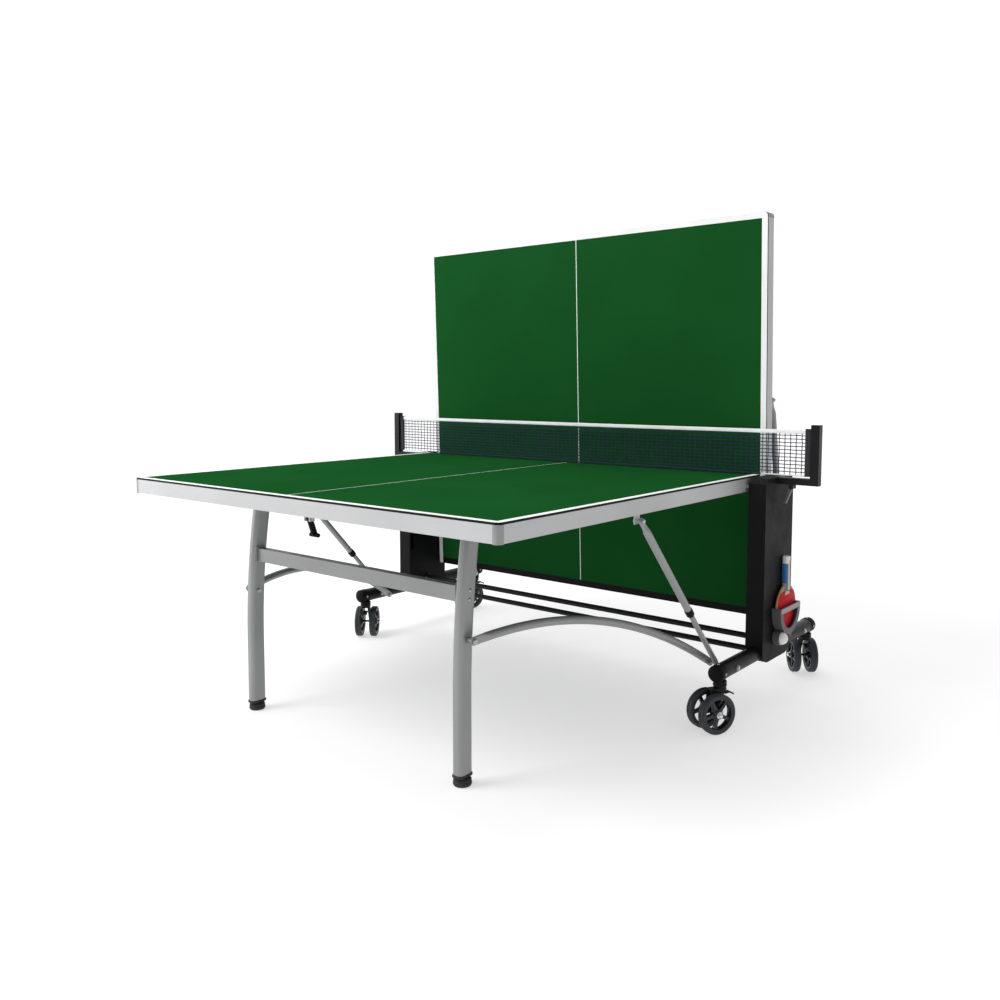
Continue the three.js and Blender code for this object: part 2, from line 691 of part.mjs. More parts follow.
function makeCrossTube(height) {
  const reach = casingInner - gap;
  const tube = tubeAlongX(-reach, reach, 0, height, crossTubeDiameter, crossTubeWall);
  const flanges = [-reach, reach - crossTubeFlangeThickness].map((x) => tubeAlongX(
    x, x + crossTubeFlangeThickness, 0, height, crossTubeDiameter + 2 * crossTubeFlange,
    crossTubeFlange + crossTubeWall / 2));
  return join(tube, ...flanges);
}

// Drawn about the swivel axis with the axle along X, trailing to +Y.
function makeFork() {
  const plateAt = wheelFromMiddle - wheelWidth / 2 - forkGap;
  const plateTop = wheelDiameter + forkOverWheel;
  const railUnderside = railHeight - railDiameter / 2;
  const swivel = bar(V(0, 0, plateTop - yokeThickness / 2), V(0, 0, railUnderside - gap), swivelDiameter, 20);
  const yokeEnd = casterTrail + forkOverWheel;
  const yoke = block(-plateAt, plateAt, -swivelDiameter / 2, yokeEnd, plateTop - yokeThickness, plateTop);
  const cheek = (x) => plate(new THREE.Shape()
    .moveTo(-swivelDiameter / 2, plateTop)
    .lineTo(casterTrail - forkEyeRadius, wheelRadius)
    .absarc(casterTrail, wheelRadius, forkEyeRadius, Math.PI, 2 * Math.PI)
    .lineTo(yokeEnd, plateTop), x, forkPlate, 4);
  const nutAt = wheelFromMiddle + wheelWidth / 2 + 2 * slideClearance;
  const axle = bar(V(-nutAt - 1, casterTrail, wheelRadius), V(nutAt + 1, casterTrail, wheelRadius),
    axleDiameter, 12);
  const nuts = [-1, 1].map((way) => bar(V(way * nutAt, casterTrail, wheelRadius),
    V(way * (nutAt + axleNutThickness), casterTrail, wheelRadius), axleNutWidth, 6));
  return join(swivel, yoke, cheek(-plateAt), cheek(plateAt - forkPlate), axle, ...nuts);
}

function makeWheel() {
  const bore = (axleDiameter + boreClearance) / 2;
  const half = wheelWidth / 2;
  return new THREE.LatheGeometry([
    new THREE.Vector2(bore, -half),
    new THREE.Vector2(wheelRadius - wheelShoulderDrop, -half),
    new THREE.Vector2(wheelRadius, -half + wheelShoulder),
    new THREE.Vector2(wheelRadius, half - wheelShoulder),
    new THREE.Vector2(wheelRadius - wheelShoulderDrop, half),
    new THREE.Vector2(bore, half),
    new THREE.Vector2(bore, -half),
  ], 24).rotateX(Math.PI).rotateZ(Math.PI / 2);
}

function addCaster(parent, corner) {
  const [end, sideName] = corner.split('_');
  const caster = new THREE.Group();
  caster.position.x = (sideName === 'right' ? 1 : -1) * railX;
  caster.position.y = (end === 'rear' ? 1 : -1) * (railHalfLength - casterFromRailEnd);
  caster.rotation.z = radians(casterTurns[corner]);
  parent.add(caster);
  addMesh(caster, `${corner}_caster_fork`, makeFork(), materials.black);
  for (const [wheelName, way] of [['a', -1], ['b', 1]]) {
    const wheel = addMesh(caster, `${corner}_wheel_${wheelName}`, makeWheel(), materials.rubber);
    wheel.position.set(way * wheelFromMiddle, casterTrail, wheelRadius);
  }
}

// ---------------------------------------------------------------- net, bat and ball
const netBottom = surfaceHeight + netAboveSurface;
const netTop = surfaceHeight + netHeight;
const postOuter = casingOuter + postBeyondCasing;
const postInner = postOuter - postWidth;

const makeNet = () => block(gap - postInner, postInner - gap, -netThickness / 2, netThickness / 2,
  netBottom, netTop);

function makeNetPost(side) {
  const armTop = casingTop;
  const post = block(side * postInner, side * postOuter, -postDepth / 2, postDepth / 2,
    armTop - armHeight, netTop + postAboveNet);
  const arm = block(side * (casingOuter + gap), side * (postInner + 1), -postDepth / 2, postDepth / 2,
    armTop - armHeight, armTop);
  const lugs = [-1, 1].map((way) => block(side * (netLeverPivot.x - netLeverDrop),
    side * (netLeverPivot.x + netLeverDrop), way * (postDepth / 2), way * (postDepth / 2 - netLugThickness),
    netLeverPivot.z - netLeverDrop, armTop - armHeight / 2));
  const boltReach = (postDepth - netLugThickness) / 2;
  const bolt = bar(V(side * netLeverPivot.x, -boltReach, netLeverPivot.z),
    V(side * netLeverPivot.x, boltReach, netLeverPivot.z), netLeverBolt, 12);
  return join(post, arm, ...lugs, bolt);
}

// A curved lever that clamps the net post, turning on the bolt under the arm.
function makeNetLever(side) {
  const reach = netLeverLength / 2;
  const shape = new THREE.Shape()
    .absarc(0, 0, netLeverEye, 0, Math.PI)
    .lineTo(-netLeverEye, 0)
    .quadraticCurveTo(-reach / 2, -netLeverLength / 3, -reach, -netLeverLength)
    .lineTo(netLeverTip - reach, -netLeverLength)
    .quadraticCurveTo(netLeverTip - reach / 2, -netLeverLength / 3, netLeverEye, 0);
  shape.holes.push(new THREE.Path().absarc(0, 0, (netLeverBolt + boreClearance) / 2, 0, 2 * Math.PI));
  const width = postDepth - 2 * (netLugThickness + lugClearance);
  const lever = new THREE.ExtrudeGeometry(shape, { depth: width, curveSegments: 5, bevelEnabled: false })
    .rotateX(Math.PI / 2).translate(0, width / 2, 0);
  if (side < 0) lever.rotateZ(Math.PI);
  return lever.translate(side * netLeverPivot.x, 0, netLeverPivot.z);
}

const holderFace = casingOuter + gap;
const batPlane = holderFace + gap + batHandleThickness / 2;
const batHeadCentre = batBottom + batHeadLength / 2;

function batHeadShape(grow) {
  const radii = [batHeadWidth / 2 + grow, batHeadLength / 2 + grow];
  return new THREE.Shape().absellipse(batCentre, batHeadCentre, ...radii, 0, 2 * Math.PI);
}

function makeBat() {
  const head = plate(batHeadShape(0), batPlane - batThickness / 2, batThickness, 14);
  const handle = new THREE.ExtrudeGeometry(
    roundedRectangle(batHandleThickness, batHandleWidth, batHandleCorner),
    { depth: batLength - batHeadLength + batHandleOverlap, curveSegments: 3, bevelEnabled: false },
  ).translate(batPlane, batCentre, batBottom + batHeadLength - batHandleOverlap);
  return join(head, handle);
}

const ballCentre = { y: batCentre - batHeadWidth / 2 + ballInset, z: batBottom - ballBelowBat };
const ballX = holderFace + holderBack + gap + ballDiameter / 2;

const makeBall = () => new THREE.SphereGeometry(ballDiameter / 2, 16, 10)
  .translate(ballX, ballCentre.y, ballCentre.z);

// A pocket with a window, open at the top for the bat, and a cup beside it for the ball.
function makeBatHolder() {
  const y = batCentre;
  const face = holderFace + holderThickness;
  const rim = batHeadWidth / 2 + holderRim;
  const above = batBottom + holderPocketHeight;
  const below = batBottom - 2 * holderRim;
  const pocket = solid(plate(batHeadShape(holderRim), holderFace, holderThickness, 14));
  const lowHalf = solid(block(holderFace, face, y - rim, y + rim, below, above));
  const room = holderThickness - 2 * holderBack;
  const inside = plate(batHeadShape(slideClearance), holderFace + holderBack, room, 14);
  const mouth = block(holderFace + holderBack, face - holderBack, y - batHeadWidth / 2 - slideClearance,
    y + batHeadWidth / 2 + slideClearance, batHeadCentre, above + slideClearance);
  const windowShape = plate(batHeadShape(-holderWindowEdge), face - 2 * holderBack, 3 * holderBack, 14);
  const window = solid(windowShape).intersect(solid(block(holderFace, face + holderBack, y - rim, y + rim,
    below, above - strapHeight)));
  const shell = cut(pocket.intersect(lowHalf), inside, mouth).subtract(window);

  const cup = bar(V(holderFace, ballCentre.y, ballCentre.z),
    V(holderFace + cupDepth, ballCentre.y, ballCentre.z), ballDiameter + 2 * cupWall, 24);
  const buttonY = y + buttonFromBat;
  const button = bar(V(holderFace, buttonY, ballCentre.z), V(holderFace + buttonDepth, buttonY, ballCentre.z),
    buttonDiameter, 16);
  const foot = block(holderFace, holderFace + holderFootDepth, ballCentre.y, buttonY + buttonDiameter / 2,
    ballCentre.z - buttonDiameter / 2, batBottom + holderRim);
  const ballSpace = bar(V(holderFace + holderBack, ballCentre.y, ballCentre.z),
    V(holderFace + ballDiameter, ballCentre.y, ballCentre.z), ballDiameter + 2 * slideClearance, 24);
  return cut(shell.add(join(cup, button, foot)), ballSpace, inside);
}

// ---------------------------------------------------------------- assembly
const table = new THREE.Group();
table.add(makeHalf('front', true, false));
table.add(makeHalf('rear', false, true));
addMesh(table, 'upper_cross_tube', makeCrossTube(upperCrossTubeHeight), materials.black);
addMesh(table, 'lower_cross_tube', makeCrossTube(lowerCrossTubeHeight), materials.black);
for (const [sideName, side] of [['left', -1], ['right', 1]]) {
  addMesh(table, `rail_${sideName}`, makeRail(side), materials.black);
  addMesh(table, `casing_${sideName}`, makeCasing(side), materials.plastic);
  addMesh(table, `net_post_${sideName}`, makeNetPost(side), materials.black);
  addMesh(table, `net_lever_${sideName}`, makeNetLever(side), materials.grey);
}
for (const corner of Object.keys(casterTurns)) addCaster(table, corner);
addMesh(table, 'net', makeNet(), materials.net);
addMesh(table, 'bat_holder', makeBatHolder(), materials.grey);
addMesh(table, 'bat', makeBat(), materials.red);
addMesh(table, 'ball', makeBall(), materials.white);

// The origin is on the floor, under the middle of the table's outline.
const outline = new THREE.Box3().setFromObject(table, true);
table.position.set(-(outline.min.x + outline.max.x) / 2, -(outline.min.y + outline.max.y) / 2, 0);
const part = new THREE.Group();
part.add(table);

export default part;
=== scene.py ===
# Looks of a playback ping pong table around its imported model. Metres, +Z up, the same frame as the model.
import json
import math

import bmesh
import bpy
from mathutils import Matrix, Vector


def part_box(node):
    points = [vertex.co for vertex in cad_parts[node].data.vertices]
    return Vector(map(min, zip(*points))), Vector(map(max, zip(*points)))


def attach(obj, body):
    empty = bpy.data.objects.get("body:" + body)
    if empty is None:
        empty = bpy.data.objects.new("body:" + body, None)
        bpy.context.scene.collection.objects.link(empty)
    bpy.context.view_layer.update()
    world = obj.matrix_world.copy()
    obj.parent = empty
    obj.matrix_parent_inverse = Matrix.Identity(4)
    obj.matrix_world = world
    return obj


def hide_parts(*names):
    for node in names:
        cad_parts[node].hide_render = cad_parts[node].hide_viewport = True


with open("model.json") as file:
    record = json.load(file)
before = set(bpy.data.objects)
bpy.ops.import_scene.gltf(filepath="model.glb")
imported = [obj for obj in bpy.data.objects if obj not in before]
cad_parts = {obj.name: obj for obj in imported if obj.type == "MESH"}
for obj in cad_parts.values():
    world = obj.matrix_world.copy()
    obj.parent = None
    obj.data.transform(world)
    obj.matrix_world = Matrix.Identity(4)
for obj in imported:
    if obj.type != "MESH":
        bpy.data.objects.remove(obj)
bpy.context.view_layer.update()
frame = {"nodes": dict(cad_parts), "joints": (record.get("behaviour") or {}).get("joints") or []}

# -------------------- sizes that the frame doesn't give
LINE = 0.020                # white border of a board
NET_STRIP = 0.026           # black strip along the board's edge at the net
CENTRE_LINE = 0.003
CAP_REACH = 0.004           # of a corner cap past its bend
CAP_PROUD = 0.0009
LEG_DEPTH = 0.052
LEG_CORNER = 0.013
LEG_BEND_START = 0.240
LEG_TOP_LEAN = 0.0027
FOOT_HEIGHT = 0.0277
BOLT = 0.008
BRACE_BOLT_HEIGHT = 0.395
BRACE_OFFSET = 0.021        # from the leg's side, and from the strut, to the brace's middle
BRACE_RISE = 0.092
BRACE_RADIUS = 0.012
FLAT_LENGTH = 0.030         # flattened end of a tube
FLAT_BLEND = 0.034
EYE_RADIUS = 0.011
STRUT_TUBE_LENGTH = 0.430
STRUT_TUBE_RADIUS = 0.011
ROD_LENGTH = 0.520
ROD_RADIUS = 0.0082
MESH_ACROSS = 0.019         # openings of the net
MESH_UP = 0.0117
STRAND = 0.0029
TAPE = 0.013
SLEEVE = 0.022
BLADE_HEIGHT = 0.158
BLADE_CORE = 0.0033         # half the thickness of the bat's wood
BOARD_CORNER = 0.014
FLOOR_GLOW = (0.55, 0.74)   # near the table, and far off
TAU = 2 * math.pi

# -------------------- places, read from the frame
joints = {j["name"]: j for j in frame["joints"]}
net_low, net_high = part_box("net")
net_y = (net_low.y + net_high.y) / 2
BASE = Matrix.Translation((0, net_y, 0))
FRONT = BASE @ Matrix.Rotation(math.pi, 4, "Z")


def pivot(joint):
    """A hinge of the half at play, as (0, distance from the net, height)."""
    p = joints[f"front_{joint}"]["pos_m"]
    return Vector((0, net_y - p[1], p[2]))


def play_box(node):
    """The box of a piece of the front half, drawn as a half that points to +Y from the net."""
    low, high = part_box(f"front_{node}")
    return Vector((-high.x, net_y - high.y, low.z)), Vector((-low.x, net_y - low.y, high.z))


def moved(joint):
    """How far a joint of the rear half stands from its place at play, in radians or metres."""
    j = joints[f"rear_{joint}"]
    return -math.radians(sum(j["range_deg"])) if j["type"] == "hinge" else -sum(j["range_m"])


def rear_place(joint, *turned_by):
    turn = sum(moved(name) for name in turned_by)
    at = Matrix.Translation(joints[f"rear_{joint}"]["pos_m"])
    return at @ Matrix.Rotation(turn, 4, "X") @ Matrix.Translation(-pivot(joint))


tubes_place = rear_place("strut_swing", "fold", "strut_swing")
rod_axis = Vector(joints["rear_strut_slide"]["axis"])
PLACES = {
    "front": {name: FRONT for name in ("half", "legs", "braces", "strut_tubes", "strut_rods")},
    "rear": {
        "half": rear_place("fold", "fold"),
        "legs": rear_place("leg_fold", "fold", "leg_fold"),
        "braces": rear_place("brace_swing", "brace_swing"),
        "strut_tubes": tubes_place,
        "strut_rods": Matrix.Translation(rod_axis * moved("strut_slide")) @ tubes_place,
    },
}


def side_name(end, side):
    return "right" if (side if end == "rear" else -side) > 0 else "left"


def side_box(node, side):
    return play_box(f"{node}_{side_name('front', side)}")


# -------------------- materials
def new_material(name, colour, roughness, metallic=0.0, **sockets):
    made = bpy.data.materials.new(name)
    made.use_nodes = True
    shader = made.node_tree.nodes["Principled BSDF"]
    shader.inputs["Base Color"].default_value = (*colour, 1)
    shader.inputs["Roughness"].default_value = roughness
    shader.inputs["Metallic"].default_value = metallic
    for socket, value in sockets.items():
        shader.inputs[socket.replace("_", " ")].default_value = value
    return made


def noise(made, size, detail=3.0, stretch=(1, 1, 1)):
    """A noise whose grains are about `size` metres across."""
    nodes, links = made.node_tree.nodes, made.node_tree.links
    where = nodes.get("where") or nodes.new("ShaderNodeTexCoord")
    where.name = "where"
    scale = nodes.new("ShaderNodeMapping")
    scale.inputs["Scale"].default_value = stretch
    texture = nodes.new("ShaderNodeTexNoise")
    texture.inputs["Scale"].default_value = 1 / size
    texture.inputs["Detail"].default_value = detail
    links.new(where.outputs["Object"], scale.inputs["Vector"])
    links.new(scale.outputs["Vector"], texture.inputs["Vector"])
    return texture.outputs["Fac"]


def remap(made, value, low, high, start=0.3, stop=0.7):
    node = made.node_tree.nodes.new("ShaderNodeMapRange")
    for socket, number in (("From Min", start), ("From Max", stop), ("To Min", low), ("To Max", high)):
        node.inputs[socket].default_value = number
    made.node_tree.links.new(value, node.inputs["Value"])
    return node.outputs["Result"]


def tint(made, factor, first, second):
    """A colour between two, by a factor."""
    mix = made.node_tree.nodes.new("ShaderNodeMix")
    mix.data_type = "RGBA"
    mix.inputs["A"].default_value = (*first, 1)
    mix.inputs["B"].default_value = (*second, 1)
    made.node_tree.links.new(factor, mix.inputs["Factor"])
    return mix.outputs["Result"]


def layer(made, below, factor, colour):
    """A colour laid over another colour's output where the factor is 1."""
    mix = made.node_tree.nodes.new("ShaderNodeMix")
    mix.data_type = "RGBA"
    mix.inputs["B"].default_value = (*colour, 1)
    made.node_tree.links.new(below, mix.inputs["A"])
    made.node_tree.links.new(factor, mix.inputs["Factor"])
    return mix.outputs["Result"]


def connect(made, value, socket):
    made.node_tree.links.new(value, made.node_tree.nodes["Principled BSDF"].inputs[socket])


def add_bump(made, height, depth):
    bump = made.node_tree.nodes.new("ShaderNodeBump")
    bump.inputs["Distance"].default_value = depth
    made.node_tree.links.new(height, bump.inputs["Height"])
    return bump.outputs["Normal"]


def waves(made, pitch, distortion):
    """Even ribs, `pitch` metres apart."""
    wave = made.node_tree.nodes.new("ShaderNodeTexWave")
    wave.inputs["Scale"].default_value = 1 / pitch / TAU
    wave.inputs["Distortion"].default_value = distortion
    made.node_tree.links.new(made.node_tree.nodes["where"].outputs["Object"], wave.inputs["Vector"])
    return wave.outputs["Fac"]


def shade(colour, by):
    return tuple(min(1, c * by) for c in colour)


def surface(name, colour, roughness, metallic=0.0, grain=0.0008, depth=0.00004, patches=0.12,
            uneven=0.06, scuffs=0.0, scuff_colour=(0.5, 0.5, 0.5), **sockets):
    """A finish with a fine grain, a slow drift of colour and gloss, and thin scuffs."""
    made = new_material(name, colour, roughness, metallic, **sockets)
    slow = noise(made, patches)
    fine = noise(made, grain, 2)
    base = tint(made, remap(made, slow, 0, 1), shade(colour, 0.93), shade(colour, 1.06))
    if scuffs:
        scratch = noise(made, 0.004, 4, stretch=(0.12, 1, 1))
        rare = remap(made, scratch, 0, scuffs, 0.66, 0.74)
        base = layer(made, base, rare, scuff_colour)
    connect(made, base, "Base Color")
    worn = noise(made, patches / 4, 4)
    connect(made, remap(made, worn, roughness - uneven, roughness + uneven), "Roughness")
    connect(made, add_bump(made, fine, depth), "Normal")
    return made


def fabric(name, colour, pitch, sheen):
    """A woven tape or thread, with ribs across."""
    made = surface(name, colour, 0.85, grain=0.0015, depth=0.0001, patches=0.05, Sheen_Weight=sheen)
    connect(made, add_bump(made, waves(made, pitch, 0.4), 0.0003), "Normal")
    return made


def plywood():
    """Thin layers of wood, light and dark in turn, seen on the bat's edge."""
    made = surface("plywood", (0.55, 0.36, 0.18), 0.5, grain=0.001, patches=0.02)
    bands = waves(made, 0.0022, 0.2)
    connect(made, tint(made, bands, (0.62, 0.43, 0.23), (0.30, 0.17, 0.08)), "Base Color")
    return made


def bat_rubber():
    """Red rubber with a fine pattern of pimples."""
    made = surface("bat_rubber", (0.46, 0.010, 0.014), 0.55, grain=0.001, patches=0.03,
                   Specular_IOR_Level=0.10)
    nodes, links = made.node_tree.nodes, made.node_tree.links
    dots = nodes.new("ShaderNodeTexVoronoi")
    dots.inputs["Scale"].default_value = 1 / 0.0022
    dots.inputs["Randomness"].default_value = 0.15
    links.new(nodes["where"].outputs["Object"], dots.inputs["Vector"])
    connect(made, add_bump(made, dots.outputs["Distance"], 0.0002), "Normal")
    return made


green = surface("board_green", (0.0078, 0.0700, 0.0150), 0.55, grain=0.0012, depth=0.00003, patches=0.35,
                uneven=0.05, Specular_IOR_Level=0.0)
white_line = surface("line_white", (0.80, 0.81, 0.80), 0.55, grain=0.0012, depth=0.00003, patches=0.2,
                     Specular_IOR_Level=0.05)
board_edge = surface("board_edge", (0.0050, 0.0050, 0.0055), 0.55, patches=0.06, Specular_IOR_Level=0.10)
board_back = surface("board_back", (0.018, 0.060, 0.026), 0.6, patches=0.2)
apron_paint = surface("apron_paint", (0.47, 0.475, 0.48), 0.45, 0.30, grain=0.0006, patches=0.3,
                      scuffs=0.25, scuff_colour=(0.36, 0.36, 0.37))
silver_paint = surface("silver_paint", (0.285, 0.287, 0.290), 0.42, 0.45, grain=0.0006, patches=0.2,
                       scuffs=0.22, scuff_colour=(0.30, 0.30, 0.31))
zinc = surface("zinc", (0.42, 0.43, 0.45), 0.34, 1.0, grain=0.0010, depth=0.00005, patches=0.02, uneven=0.12)
chrome = surface("chrome", (0.80, 0.81, 0.83), 0.14, 1.0, grain=0.002, depth=0.00002, patches=0.02,
                 uneven=0.05)
black_metal = surface("black_metal", (0.0085, 0.0085, 0.0092), 0.38, grain=0.0007, depth=0.00006,
                      patches=0.15, scuffs=0.05, scuff_colour=(0.04, 0.04, 0.04), Specular_IOR_Level=0.14)
black_plastic = surface("black_plastic", (0.0062, 0.0062, 0.0067), 0.50, grain=0.0005, depth=0.00007,
                        patches=0.25, Specular_IOR_Level=0.07)
hub_plastic = surface("hub_plastic", (0.010, 0.012, 0.016), 0.30, grain=0.0006, patches=0.03)
tyre_rubber = surface("tyre_rubber", (0.022, 0.026, 0.032), 0.62, grain=0.0012, depth=0.00012, patches=0.03,
                      uneven=0.10)
foot_rubber = surface("foot_rubber", (0.014, 0.014, 0.014), 0.68, grain=0.0010, depth=0.00012, patches=0.02)
grey_plastic = surface("grey_plastic", (0.075, 0.077, 0.081), 0.50, grain=0.0005, depth=0.00007, patches=0.06)
strap_plastic = surface("strap_plastic", (0.26, 0.262, 0.268), 0.48, grain=0.0006, depth=0.00005,
                        patches=0.05)
cap_plastic = surface("cap_plastic", (0.27, 0.273, 0.277), 0.46, grain=0.0006, depth=0.00005, patches=0.05)
net_thread = fabric("net_thread", (0.004, 0.011, 0.042), 0.0012, 0.0)
net_tape = fabric("net_tape", (0.80, 0.81, 0.82), 0.0020, 0.4)
sleeve_cloth = fabric("sleeve_cloth", (0.012, 0.012, 0.014), 0.0040, 0.1)
bat_wood = plywood()
red_rubber = bat_rubber()
grip_blue = surface("grip_blue", (0.020, 0.150, 0.380), 0.45, grain=0.0010, patches=0.03)
grip_white = surface("grip_white", (0.72, 0.72, 0.70), 0.45, grain=0.0010, patches=0.03)
grip_yellow = surface("grip_yellow", (0.75, 0.50, 0.05), 0.45, grain=0.0010, patches=0.03)
ball_white = surface("ball_white", (0.80, 0.80, 0.78), 0.38, grain=0.0015, patches=0.02,
                     Subsurface_Weight=0.1)


# -------------------- meshes
def new_object(name, data):
    obj = bpy.data.objects.new(name, data)
    bpy.context.scene.collection.objects.link(obj)
    return obj


def circle(radius, count=32):
    return [(radius * math.cos(i * TAU / count), radius * math.sin(i * TAU / count)) for i in range(count)]


def rounded(width, height, radius, steps=6):
    """A rectangle with round corners, as points anticlockwise."""
    points = []
    for quarter, (sx, sy) in enumerate(((1, 1), (-1, 1), (-1, -1), (1, -1))):
        centre = Vector((sx * (width / 2 - radius), sy * (height / 2 - radius)))
        for i in range(steps + 1):
            angle = (quarter + i / steps) * math.pi / 2
            points.append(tuple(centre + radius * Vector((math.cos(angle), math.sin(angle)))))
    return points


def aim(at, direction):
    """Moves +Z to a direction and the origin to a point."""
    turn = Vector((0, 0, 1)).rotation_difference(Vector(direction)).to_matrix().to_4x4()
    return Matrix.Translation(at) @ turn


class Piece:
    """One object, gathered from parts that each have a material."""

    def __init__(self, name):
        self.name, self.mesh, self.materials = name, bmesh.new(), []

    def add(self, points, faces, material, place=Matrix()):
        if material not in self.materials:
            self.materials.append(material)
        corners = [self.mesh.verts.new(place @ Vector(p)) for p in points]
        for indices in faces:
            face = self.mesh.faces.new([corners[i] for i in indices])
            face.material_index = self.materials.index(material)
            face.smooth = True
        return self

    def rings(self, rings, material, place=Matrix(), closed=False):
        """A skin through rings of equal count, with flat ends unless it closes on itself."""
        count, total = len(rings[0]), len(rings)
        faces = [
            (a * count + i, a * count + (i + 1) % count, b * count + (i + 1) % count, b * count + i)
            for a, b in ((k, (k + 1) % total) for k in range(total if closed else total - 1))
            for i in range(count)
        ]
        if not closed:
            faces += [tuple(reversed(range(count))), tuple(range((total - 1) * count, total * count))]
        return self.add([p for ring in rings for p in ring], faces, material, place)

    def lathe(self, profile, material, place=Matrix(), count=40, closed=False):
        """Turns (radius, height) points about Z."""
        turned = [[(x * r, y * r, z) for x, y in circle(1, count)] for r, z in profile]
        return self.rings(turned, material, place, closed)

    def prism(self, outline, low, high, material, place=Matrix()):
        return self.rings([[(x, y, z) for x, y in outline] for z in (low, high)], material, place)

    def sweep(self, path, section, material, across=(1, 0, 0), place=Matrix(), closed=False):
        """Carries a section along a path; `section` is points, or gives them for a point's number."""
        rings, last = [], len(path) - 1
        for i, at in enumerate(path):
            along = (path[min(i + 1, last)] - path[max(i - 1, 0)]).normalized()
            side = (Vector(across) - along * along.dot(Vector(across))).normalized()
            up = along.cross(side)
            points = section(i) if callable(section) else section
            rings.append([at + side * u + up * v for u, v in points])
        return self.rings(rings, material, place, closed)

    def bar(self, start, end, radius, material, count=24):
        start, end = Vector(start), Vector(end)
        length = (end - start).length
        edge = min(radius * 0.2, length * 0.2)
        profile = ((radius - edge, 0), (radius, edge), (radius, length - edge), (radius - edge, length))
        return self.lathe(profile, material, aim(start, end - start), count)

    def bolt(self, at, direction, size, material):
        """A washer and a hexagon head with a chamfer."""
        here = aim(at, direction)
        washer, head = size * 0.20, size * 0.75
        self.lathe(((size * 1.05, 0), (size * 1.10, washer * 0.4), (size * 1.05, washer)), material, here, 28)
        hexagon = circle(size * 0.92, 6)
        shrink = [(x * 0.86, y * 0.86) for x, y in hexagon]
        self.rings([[(x, y, washer) for x, y in hexagon], [(x, y, head * 0.85) for x, y in hexagon],
                    [(x, y, head) for x, y in shrink]], material, here)
        return self

    def screw(self, at, direction, radius, material):
        """A domed head with a socket."""
        steps = [(radius * math.cos(a), radius * 0.6 * math.sin(a)) for a in (0, 0.35, 0.7, 1.05)]
        socket = [(radius * 0.34, steps[-1][1]), (radius * 0.30, radius * 0.15)]
        return self.lathe(steps + socket, material, aim(at, direction), 24)

    def finish(self, body, *replaced, slot=None, place=Matrix(), bevel=0.0, angle=30, segments=2):
        self.mesh.transform(place)
        bmesh.ops.recalc_face_normals(self.mesh, faces=self.mesh.faces)
        data = bpy.data.meshes.new(self.name)
        self.mesh.to_mesh(data)
        self.mesh.free()
        for material in self.materials:
            data.materials.append(material)
        return settle(new_object(self.name, data), body, replaced, bevel, angle, segments)


def settle(obj, body, replaced=(), bevel=0.0, angle=30, segments=2):
    """Gives an object its edges, and rides it on its body."""
    soften(obj, bevel, angle, segments)
    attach(obj, body)
    if replaced:
        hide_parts(*replaced)
    return obj


def soften(obj, bevel, angle, segments):
    """Rounds the sharp edges a little, and shades the rest smooth."""
    if bevel:
        edges = obj.modifiers.new("edges", "BEVEL")
        edges.width, edges.segments = bevel, segments
        edges.limit_method, edges.angle_limit = "ANGLE", math.radians(angle)
        shading = obj.modifiers.new("shading", "WEIGHTED_NORMAL")
        shading.keep_sharp = True
    else:
        obj.data.set_sharp_from_angle(angle=math.radians(angle))


def dress(node, material, bevel=0.0008, angle=28, segments=2):
    """Gives a CAD node its material, and edges that catch the light."""
    obj = frame["nodes"][node]
    obj.data.materials.clear()
    obj.data.materials.append(material)
    if "custom_normal" in obj.data.attributes:
        obj.data.attributes.remove(obj.data.attributes["custom_normal"])
    for polygon in obj.data.polygons:
        polygon.use_smooth = True
    weld = obj.modifiers.new("weld", "WELD")
    weld.merge_threshold = 0.00002
    flat = obj.modifiers.new("flat", "DECIMATE")
    flat.decimate_type, flat.angle_limit = "DISSOLVE", math.radians(0.6)
    soften(obj, bevel, angle, segments)


